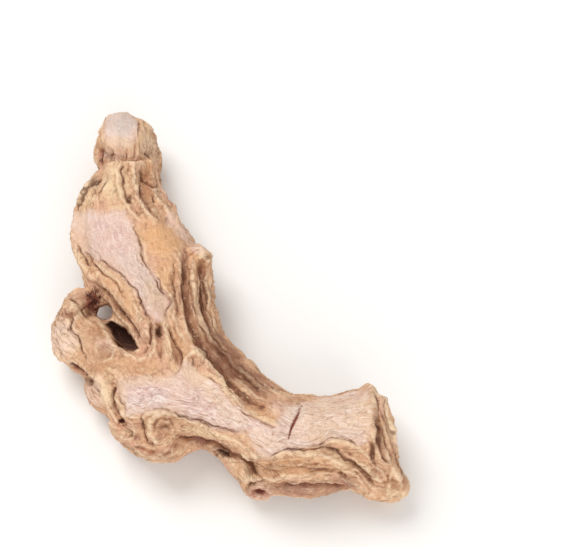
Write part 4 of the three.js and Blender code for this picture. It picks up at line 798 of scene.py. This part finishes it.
def fibre_mesh(starts, ways, droops, thick):
    """Thin tapered fibres. With t from 0 at the root to 1 at the tip, a fibre's middle is start + t*way +
    t^2*droop, and its radius is thick*(1 - 0.8t). Its rings lie square to the way, and both ends are
    shut."""
    sides, rings = 5, 7
    t = np.linspace(0, 1, rings)[None, :, None]
    middle = starts[:, None] + t * ways[:, None] + t ** 2 * droops[:, None]
    ahead = ways / np.linalg.norm(ways, axis=1)[:, None]
    across = np.cross(ahead, np.array([0.31, 0.17, 0.93]))
    across /= np.linalg.norm(across, axis=1)[:, None]
    over = np.cross(ahead, across)
    turn = np.arange(sides) * 2 * np.pi / sides
    rim = np.cos(turn)[None, :, None] * across[:, None] + np.sin(turn)[None, :, None] * over[:, None]
    tubes = middle[:, :, None] + rim[:, None] * (thick * (1 - 0.8 * t))[..., None]
    own = rings * sides + 2
    corners = np.concatenate([tubes.reshape(len(starts), -1, 3), middle[:, :1], middle[:, -1:]], axis=1)
    ring, side = np.meshgrid(np.arange(rings - 1), np.arange(sides), indexing="ij")
    low, next_side = (ring * sides + side).ravel(), (ring * sides + (side + 1) % sides).ravel()
    edge = np.arange(sides)
    beside, last = (edge + 1) % sides, (rings - 1) * sides
    one = np.concatenate([np.stack(part, axis=1) for part in (
        (low, next_side, next_side + sides), (low, next_side + sides, low + sides),
        (beside, edge, np.full(sides, own - 2)), (edge + last, beside + last, np.full(sides, own - 1)))])
    every = one[None] + np.arange(len(starts))[:, None, None] * own
    return corners.reshape(-1, 3), every.reshape(-1, 3)


# Frayed root fibres: a dark tuft on the lobe's tip, and a few short ones at the corner. They start a little
# under the skin and lean to where they stand on the picture.
dice = np.random.default_rng(211)
roots, ways = [], []
for x, y, wide, tall, count, longest, lean in FRAYS:
    spread = np.hypot((places[:, 0] - x) / wide, (places[:, 1] - y) / tall)
    near = np.flatnonzero((spread < 1) & (facing > 0.25))
    picked = dice.choice(near, count, replace=False)
    way = normals[picked] * 0.5 + np.array(lean) + dice.normal(size=(count, 3)) * 0.3
    way *= (dice.uniform(0.4, 1.0, count) * longest / np.linalg.norm(way, axis=1))[:, None]
    roots.append(points[picked] - normals[picked] * FIBRE_ROOT)
    ways.append(way)
roots, ways = np.concatenate(roots), np.concatenate(ways)
droops = dice.normal(size=roots.shape) * 0.3 * np.linalg.norm(ways, axis=1)[:, None]
fibre_points, fibre_faces = fibre_mesh(roots, ways, droops, FIBRE_RADIUS)
frays = bpy.data.meshes.new("frayed_root_fibres")
frays.from_pydata(fibre_points * MM, [], fibre_faces.tolist())
frays.polygons.foreach_set("use_smooth", np.ones(len(fibre_faces), bool))
fibres = bpy.data.objects.new("frayed_root_fibres", frays)
bpy.context.scene.collection.objects.link(fibres)


def linear(colour):
    """An sRGB hex colour as linear values and alpha: ((c + 0.055) / 1.055)^2.4, or c / 12.92 if dark."""
    parts = [int(colour[k:k + 2], 16) / 255 for k in (1, 3, 5)]
    return [c / 12.92 if c <= 0.04045 else ((c + 0.055) / 1.055) ** 2.4 for c in parts] + [1.0]


def add(tree, kind, settings, inputs, output=0):
    """Adds a node and gives one of its outputs: settings are its properties, and each input takes a value
    or, from another node's output, a link."""
    node = tree.nodes.new(kind)
    for name, value in settings.items():
        setattr(node, name, value)
    for name, value in inputs.items():
        if isinstance(value, bpy.types.NodeSocket):
            tree.links.new(value, node.inputs[name])
        else:
            node.inputs[name].default_value = value
    return node.outputs[output]


# Dried ginger skin, peeled by hand on its flat faces and dried in the sun: matt, leathery tan with painted
# brown shade in its folds and a painted cream highlight on its crests, and pale mauve-pink starch with fine
# fibres where it is peeled.
dried = bpy.data.materials.new("sun_dried_peeled_ginger")
dried.use_nodes = True
tree = dried.node_tree
tree.nodes.clear()
place = add(tree, "ShaderNodeTexCoord", {}, {}, "Object")

# Patterns that fill the skin, as noises: turns per metre, layers and roughness. The grain of starch cells
# is about 0.3 mm across, speckles are 0.6 mm, mottling is 1.5 mm and drifts of colour are 6 mm.
PATTERNS = {
    "grain": (3200.0, 3.0, 0.5),
    "speckle": (1500.0, 2.0, 0.6),
    "mottle": (650.0, 4.0, 0.65),
    "drift": (160.0, 3.0, 0.5),
}
signals = {}
for name, (scale, layers, roughness) in PATTERNS.items():
    signals[name] = add(tree, "ShaderNodeTexNoise", {}, {
        "Vector": place, "Scale": scale, "Detail": layers, "Roughness": roughness})
for name in measures:
    signals[name] = add(tree, "ShaderNodeAttribute", {"attribute_name": name}, {}, "Fac")

# Patterns that run along each limb, on its own measures in mm: how often they turn along it and across it.
# Fibres lie 0.5 mm apart and are 6 mm long, dashes 0.35 mm apart and 1.5 mm long, and creases of the
# shrunken skin follow the limb for a centimetre, about 1 mm apart.
LENGTHWISE = {
    "fibre": ((0.16, 1.9, 1.9), 3.0),
    "dash": ((0.65, 2.8, 2.8), 2.0),
    "crease": ((0.13, 0.75, 0.75), 2.5),
}
for name, (rates, layers) in LENGTHWISE.items():
    blended = 0.0
    for limb in LIMB_NAMES:
        spots = add(tree, "ShaderNodeAttribute", {"attribute_name": limb + "_fibres"}, {}, "Vector")
        share = add(tree, "ShaderNodeAttribute", {"attribute_name": limb + "_share"}, {}, "Fac")
        drawn_out = add(tree, "ShaderNodeMapping", {}, {"Vector": spots, "Scale": rates})
        noise = add(tree, "ShaderNodeTexNoise", {}, {
            "Vector": drawn_out, "Scale": 1.0, "Detail": layers, "Roughness": 0.6})
        blended = add(tree, "ShaderNodeMath", {"operation": "MULTIPLY_ADD"}, {
            0: noise, 1: share, 2: blended})
    signals[name] = blended
# A crease or a hair is a thin line where its noise passes near the middle. The skin itself holds the
# distance to the other lines. Each is 0 on the line.
for name, noise, middle in (("crease", "crease", 0.5), ("hair", "fibre", 0.48)):
    signals[name] = add(tree, "ShaderNodeMath", {"operation": "SUBTRACT"}, {0: signals[noise], 1: middle})
for name in ("crease", "hair", "line", "brink"):
    signals[name] = add(tree, "ShaderNodeMath", {"operation": "ABSOLUTE"}, {0: signals[name]})

# Coats of colour, one over the other: the colour, how strong it is, and where it lies. Each "where" is a
# pattern or measure, with its value at which the coat is absent and the one at which it is full. The skin's
# coats and the peeled faces' lie on a ground colour each, and the last ones lie over both.
GROUND = {"tan": "#d3a27e", "pale": "#dcbcab"}
TAN = [
    ("#e2bb96", 1.0, (("mottle", 0.4, 0.62),)),
    ("#c39270", 0.5, (("drift", 0.45, 0.65),)),
    ("#d3a089", 0.5, (("drift", 0.5, 0.38),)),
    ("#dca878", 0.85, (("orange", 0.0, 1.0),)),
    ("#9d6a4d", 0.85, (("brown", 0.0, 1.0),)),
    ("#ecd0aa", 0.8, (("cream", 0.0, 1.0),)),
    # Painted highlight: lighter on crests and ridges.
    ("#ecd1b0", 0.7, (("crest_highlight", 0.0, 1.0),)),
    ("#e7c8b6", 0.8, (("blush", 0.0, 1.0),)),
    # Painted shade: darker in hollows and furrows, except on the pale cap.
    ("#7b4c34", 0.9, (("hollow_shade", 0.0, 0.9), ("cap", 1.4, 0.0))),
    ("#9a6a47", 0.4, (("fibre", 0.53, 0.7), ("smooth", 1.0, 0.0))),
    ("#8a5a3e", 0.6, (("crease", 0.035, 0.0), ("smooth", 0.7, 0.0))),
    ("#a07050", 0.45, (("speckle", 0.58, 0.7),)),
    ("#f0d8b6", 0.35, (("speckle", 0.42, 0.32),)),
]
PALE = [
    ("#e8cfc1", 1.0, (("mottle", 0.42, 0.6),)),
    ("#d6ae99", 0.45, (("drift", 0.45, 0.62),)),
    ("#d0aa99", 0.45, (("speckle", 0.5, 0.64),)),
    ("#d5b0ae", 0.5, (("mauve", 0.0, 1.0),)),
    ("#bf9ba6", 0.6, (("dash", 0.5, 0.62), ("mauve", 0.15, 0.7))),
    ("#f6ebe6", 0.6, (("dash", 0.48, 0.38), ("mauve", 0.15, 0.7))),
    ("#b98a70", 0.5, (("brown", 0.0, 1.0),)),
    ("#e3c5a4", 0.75, (("straw", 0.0, 1.0),)),
    ("#d9ae86", 0.6, (("straw", 0.2, 1.0), ("mottle", 0.5, 0.62))),
    ("#cbbdb4", 0.8, (("ash", 0.0, 1.0),)),
    ("#b38b78", 0.75, (("dash", 0.54, 0.68), ("streaky", 0.0, 1.0))),
    ("#f4e3d8", 0.55, (("dash", 0.46, 0.34), ("streaky", 0.0, 1.0))),
    ("#a67d69", 0.5, (("hair", 0.018, 0.0), ("mottle", 0.42, 0.58), ("streaky", 0.0, 1.0))),
    ("#8d7263", 0.55, (("hair", 0.03, 0.0), ("ash", 0.3, 1.0), ("cap", 1.0, 0.0))),
    ("#ab9488", 0.45, (("speckle", 0.54, 0.64), ("ash", 0.5, 1.0))),
    ("#dfba93", 0.6, (("cream", 0.0, 1.0),)),
    # Painted shade in the peeled faces' hollows.
    ("#9d7059", 0.6, (("hollow_shade", 0.0, 1.0),)),
]
OVER_BOTH = [
    # Where mauve and brown meet: painted shade in the recess under the front crest and on the lower wall,
    # and a darker tone where their drifts overlap out of sight.
    ("#93685c", 0.8, (("mauve", 0.0, 1.0), ("brown", 0.0, 1.0))),
    # Painted shade in the shelf's bend, the recess, holes, dents and furrows.
    ("#7e5037", 0.7, (("umber_shade", 0.0, 1.0),)),
    ("#a2543f", 0.75, (("rust", 0.0, 1.0), ("mottle", 0.4, 0.6))),
    ("#76513b", 0.75, (("brink", 0.9, 0.25), ("seam", 0.1, 0.7))),
    # Dark lines: painted shade in the furrows, and the real scratches.
    ("#5f3c2a", 0.8, (("line", 0.95, 0.25), ("furrow_shade_and_scratch", 0.1, 0.75))),
    # Painted shade in holes and dents, darker the deeper they are; the next coat is a rust-red scar colour
    # in them.
    ("#40231a", 0.85, (("pit_and_shade", 0.0, 1.0),)),
    ("#934a40", 0.65, (("pit_and_shade", 0.2, 0.8), ("rust", 0.4, 0.9))),
    ("#7d382b", 1.0, (("crack", 0.0, 0.8),)),
    # Painted shade in the slot: dark brown inside, and a lighter fibrous brown on its walls.
    ("#543226", 1.0, (("slot_and_shade", 0.0, 1.0),)),
    ("#8a5c48", 0.75, (("slot_and_shade", 0.2, 1.0), ("fibre", 0.5, 0.6))),
    ("#7a5038", 0.35, (("grain", 0.6, 0.74),)),
]
finished = {}
for name, coats in (("tan", TAN), ("pale", PALE), ("whole", OVER_BOTH)):
    if name in GROUND:
        below = linear(GROUND[name])
    else:
        below = add(tree, "ShaderNodeMix", {"data_type": "RGBA"}, {
            0: signals["peeled"], 6: finished["tan"], 7: finished["pale"]}, 2)
    for colour, strength, wheres in coats:
        for signal, absent, full in wheres:
            strength = add(tree, "ShaderNodeMapRange", {}, {
                "Value": signals[signal], "From Min": absent, "From Max": full,
                "To Min": 0.0, "To Max": strength})
        below = add(tree, "ShaderNodeMix", {"data_type": "RGBA"}, {
            0: strength, 6: below, 7: linear(colour)}, 2)
    finished[name] = below

# The fine relief, 0.3 mm for a height of 1: grain and mottling everywhere, fibres, and creases and lines
# pressed in. Each has the value at which its height is full, and that height.
BUMP_HEIGHT = 0.3 * MM
FINE_RELIEF = {
    "grain": (1.0, 0.35),
    "mottle": (1.0, 0.6),
    "fibre": (1.0, 0.4),
    "crease": (0.05, 0.22),
    "line": (1.0, 0.3),
}
height = 0.0
for signal, (full, share) in FINE_RELIEF.items():
    part = add(tree, "ShaderNodeMapRange", {}, {
        "Value": signals[signal], "From Min": 0.0, "From Max": full, "To Min": 0.0, "To Max": share})
    height = add(tree, "ShaderNodeMath", {"operation": "ADD"}, {0: part, 1: height})
raised = add(tree, "ShaderNodeBump", {}, {"Strength": 0.85, "Distance": BUMP_HEIGHT, "Height": height})
shaded = add(tree, "ShaderNodeBsdfPrincipled", {}, {
    "Base Color": finished["whole"], "Normal": raised, "Roughness": 0.82, "IOR": 1.45})
tree.links.new(shaded, tree.nodes.new("ShaderNodeOutputMaterial").inputs["Surface"])
skin.materials.append(dried)

# Torn ends of roots and bundles of dry bast: matt dark red-brown, darker and redder from fibre to fibre.
bast = bpy.data.materials.new("dry_frayed_bast")
bast.use_nodes = True
tree = bast.node_tree
tree.nodes.clear()
place = add(tree, "ShaderNodeTexCoord", {}, {}, "Object")
# A change of colour about every 0.8 mm.
varied = add(tree, "ShaderNodeTexNoise", {}, {
    "Vector": place, "Scale": 1200.0, "Detail": 3.0, "Roughness": 0.6})
amount = add(tree, "ShaderNodeMapRange", {}, {"Value": varied, "From Min": 0.4, "From Max": 0.6})
colour = add(tree, "ShaderNodeMix", {"data_type": "RGBA"}, {
    0: amount, 6: linear("#4f2620"), 7: linear("#8c5642")}, 2)
shaded = add(tree, "ShaderNodeBsdfPrincipled", {}, {"Base Color": colour, "Roughness": 0.85, "IOR": 1.45})
tree.links.new(shaded, tree.nodes.new("ShaderNodeOutputMaterial").inputs["Surface"])
frays.materials.append(bast)

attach(root, "root")
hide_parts("rhizome")
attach(fibres, "root")

# A plain pale floor, wide enough to fill every view.
bpy.ops.mesh.primitive_plane_add(size=FLOOR_SIDE, location=(0, 0, -FLOOR_GAP * MM))
floor = bpy.context.object
floor.name = "studio_floor"
paper = bpy.data.materials.new("matt_white_paper")
paper.use_nodes = True
paper.node_tree.nodes["Principled BSDF"].inputs["Base Color"].default_value = linear("#f4f3f1")
paper.node_tree.nodes["Principled BSDF"].inputs["Roughness"].default_value = 0.95
floor.data.materials.append(paper)

world = bpy.data.worlds.new("studio_air")
world.use_nodes = True
world.node_tree.nodes["Background"].inputs["Color"].default_value = linear("#fbfaf8")
world.node_tree.nodes["Background"].inputs["Strength"].default_value = 0.66
bpy.context.scene.world = world


def softbox(name, at, size, power):
    """A square light of a size in metres, turned towards the root."""
    light = bpy.data.lights.new(name, "AREA")
    light.size, light.energy = size, power
    lamp = bpy.data.objects.new(name, light)
    lamp.location = at
    bpy.context.scene.collection.objects.link(lamp)
    way = Vector((0.0, 0.0, LOOK_AT[2] * MM)) - lamp.location
    lamp.rotation_euler = way.to_track_quat("-Z", "Y").to_euler()


softbox("key_softbox", at=(-0.25, 0.28, 0.62), size=0.4, power=2.9)
softbox("fill_softbox", at=(0.15, -0.7, 0.3), size=0.7, power=3.0)

lens = bpy.data.cameras.new("camera")
lens.lens, lens.sensor_width = LENS, SENSOR
lens.clip_start, lens.clip_end = 0.01, 20.0
camera = bpy.data.objects.new("camera", lens)
camera.location = CAMERA_AT * MM
camera.rotation_euler = (math.pi / 2 - LOOK_DOWN, 0.0, 0.0)
bpy.context.scene.collection.objects.link(camera)
bpy.context.scene.camera = camera
bpy.context.scene.view_settings.view_transform = "Standard"
